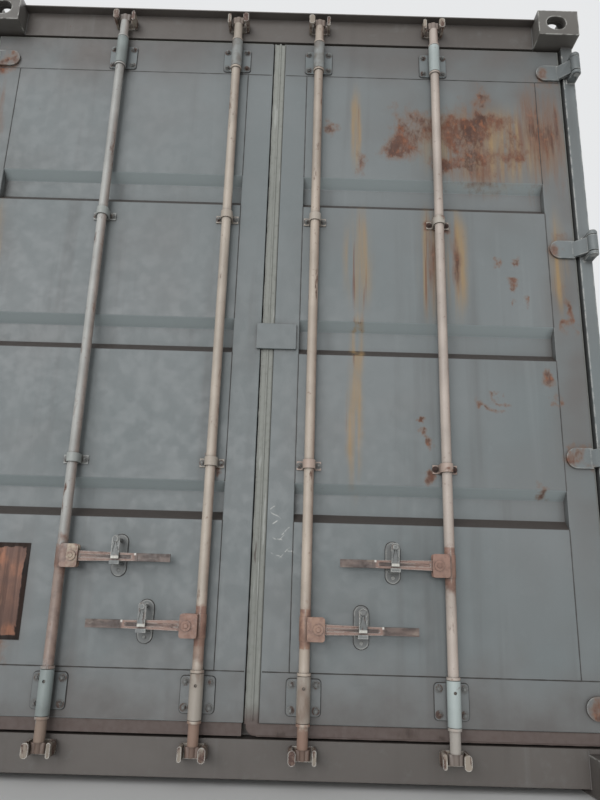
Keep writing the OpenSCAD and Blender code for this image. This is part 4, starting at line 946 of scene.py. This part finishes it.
def frame_welds(bm):
    r = 3 * MM
    for side in (-1, 1):
        for node in ("rear_posts", "front_posts"):
            low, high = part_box(node)
            rear = node == "rear_posts"
            x_out = side * (high.x - REAR_POST_INSET if rear else high.x)
            x_in = side * (SIDE_HIGH.x - POST_IN)
            y_face = REAR_Y + POST_RECESS if rear else high.y
            y_back = y_face + (REAR_POST_DEPTH if rear else -FRONT_POST_DEPTH)
            for z in (low.z, high.z):
                bead(bm, (x_in, y_face, z), (x_out, y_face, z), r, 8, 0.2)
                bead(bm, (x_out, y_face, z), (x_out, y_back, z), r, 8, 0.2)
    for x in (HEADER_LOW.x, HEADER_HIGH.x):
        bead(bm, (x, FACE_Y, HEADER_Z), (x, FACE_Y, HEADER_HIGH.z - 8 * MM), r, 8, 0.2)
    sill_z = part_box("door_sill")[0].z
    for x in (-HEADER_HIGH.x, HEADER_HIGH.x):
        bead(bm, (x, FACE_Y, sill_z), (x, FACE_Y, SILL_WELD_TOP), r, 8, 0.2)
    for x in (-SIDE_HIGH.x, SIDE_HIGH.x):
        for z in (FLOOR_Z, SIDE_HIGH.z):
            bead(bm, (x, SIDE_LOW.y, z), (x, SIDE_HIGH.y, z), 2 * MM, 6)
    front_y = FRONT_HIGH.y - 1 * MM
    for z in (FRONT_LOW.z, FRONT_HIGH.z):
        bead(bm, (FRONT_LOW.x, front_y, z), (FRONT_HIGH.x, front_y, z), 2 * MM, 6)


link("frame_welds", made_mesh("frame_welds", frame_welds), weld_finish, "box_frame")


# Screws that hold the floor boards to the cross members
CROSS_PITCH, CROSS_MIDDLE = 0.305, 0.022
FLOOR_ROWS = 4
SCREW_SHARES = (0.08, 0.36, 0.64, 0.92)


def floor_screws(bm):
    low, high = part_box("floor_boards")
    first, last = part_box("cross_members")[0].y + CROSS_MIDDLE, high.y - 0.15
    width = (high.x - low.x) / FLOOR_ROWS
    for member in range(int((last - first) / CROSS_PITCH) + 1):
        y = first + member * CROSS_PITCH
        for board in range(FLOOR_ROWS):
            for share in SCREW_SHARES:
                at = Vector((low.x + width * (board + share), y, high.z - 1 * MM))
                prism(bm, at, (0, 0, 1), 6 * MM, 1.6 * MM, 10, 0.5 * MM)


link("floor_screws", made_mesh("floor_screws", floor_screws), rusty_bolt, "box_frame")


# Stage, light and camera

def stage_plane(name, size, z, colour):
    mesh = bpy.data.meshes.new(name)
    s = size / 2
    mesh.from_pydata([(-s, -s, z), (s, -s, z), (s, s, z), (-s, s, z)], [], [(0, 1, 2, 3)])
    obj = bpy.data.objects.new(name, mesh)
    bpy.context.scene.collection.objects.link(obj)
    p = Paint(name)
    shade = p.noise(0.4, 2)
    tone = p.mix(p.step(shade, 0.3, 0.7), colour, tuple(0.97 * c for c in colour[:3]) + (1,))
    mesh.materials.append(p.finish(tone, 0.8))


stage_plane("pale_floor", 160, -0.001, (0.72, 0.72, 0.71, 1))

world = bpy.data.worlds.new("studio")
bpy.context.scene.world = world
world.use_nodes = True
tree = world.node_tree
tree.nodes.clear()
out = tree.nodes.new("ShaderNodeOutputWorld")
plain = tree.nodes.new("ShaderNodeBackground")
plain.inputs["Color"].default_value = (0.86, 0.88, 0.90, 1)
plain.inputs["Strength"].default_value = 0.5
seen = tree.nodes.new("ShaderNodeBackground")
seen.inputs["Color"].default_value = (0.80, 0.81, 0.82, 1)
seen.inputs["Strength"].default_value = 1.0
path = tree.nodes.new("ShaderNodeLightPath")
either = tree.nodes.new("ShaderNodeMath")
either.operation = "MAXIMUM"
tree.links.new(path.outputs["Is Camera Ray"], either.inputs[0])
tree.links.new(path.outputs["Is Transmission Ray"], either.inputs[1])
both = tree.nodes.new("ShaderNodeMath")
both.operation = "MAXIMUM"
tree.links.new(either.outputs[0], both.inputs[0])
tree.links.new(path.outputs["Is Glossy Ray"], both.inputs[1])
blend = tree.nodes.new("ShaderNodeMixShader")
tree.links.new(both.outputs[0], blend.inputs["Fac"])
tree.links.new(plain.outputs[0], blend.inputs[1])
tree.links.new(seen.outputs[0], blend.inputs[2])
tree.links.new(blend.outputs[0], out.inputs["Surface"])


def soft_sun(name, towards, strength, spread):
    """Even light from one side, soft enough to leave no hard shadow."""
    light = bpy.data.lights.new(name, "SUN")
    light.energy = strength
    light.angle = math.radians(spread)
    obj = bpy.data.objects.new(name, light)
    obj.rotation_euler = Vector(towards).to_track_quat("-Z", "Y").to_euler()
    bpy.context.scene.collection.objects.link(obj)


soft_sun("key", (0.55, 1, -0.45), 1.0, 35)
soft_sun("low", (0.10, 1, -0.03), 1.15, 20)
soft_sun("back", (-0.6, -1, -0.8), 0.9, 50)

# The camera of the photograph, found from its straight lines and the standard sizes
CAMERA_AT = (0.12983, -8.30586, 0.59665)
CAMERA_TURN = (-15.51722952, -0.22504413, 1.64504692)
FOCAL_PIXELS = 669.906
IMAGE_TALL = 800
SENSOR = 36.0


def camera_matrix():
    """The camera's place, from a turn vector and axes that look along Y with Z up."""
    turn = Vector([math.radians(a) for a in CAMERA_TURN])
    look = Matrix.Rotation(turn.length, 3, turn.normalized())
    base = Matrix(((1, 0, 0), (0, 0, -1), (0, 1, 0)))
    r = look @ base
    axes = Matrix((r[0], -Vector(r[1]), -Vector(r[2]))).transposed().to_4x4()
    return Matrix.Translation(CAMERA_AT) @ axes


camera = bpy.data.cameras.new("camera")
camera.sensor_width = SENSOR
camera.lens = FOCAL_PIXELS * SENSOR / IMAGE_TALL
camera.clip_end = 200
eye = bpy.data.objects.new("camera", camera)
eye.matrix_world = camera_matrix()
bpy.context.scene.collection.objects.link(eye)
bpy.context.scene.camera = eye
bpy.context.scene.view_settings.view_transform = "Standard"
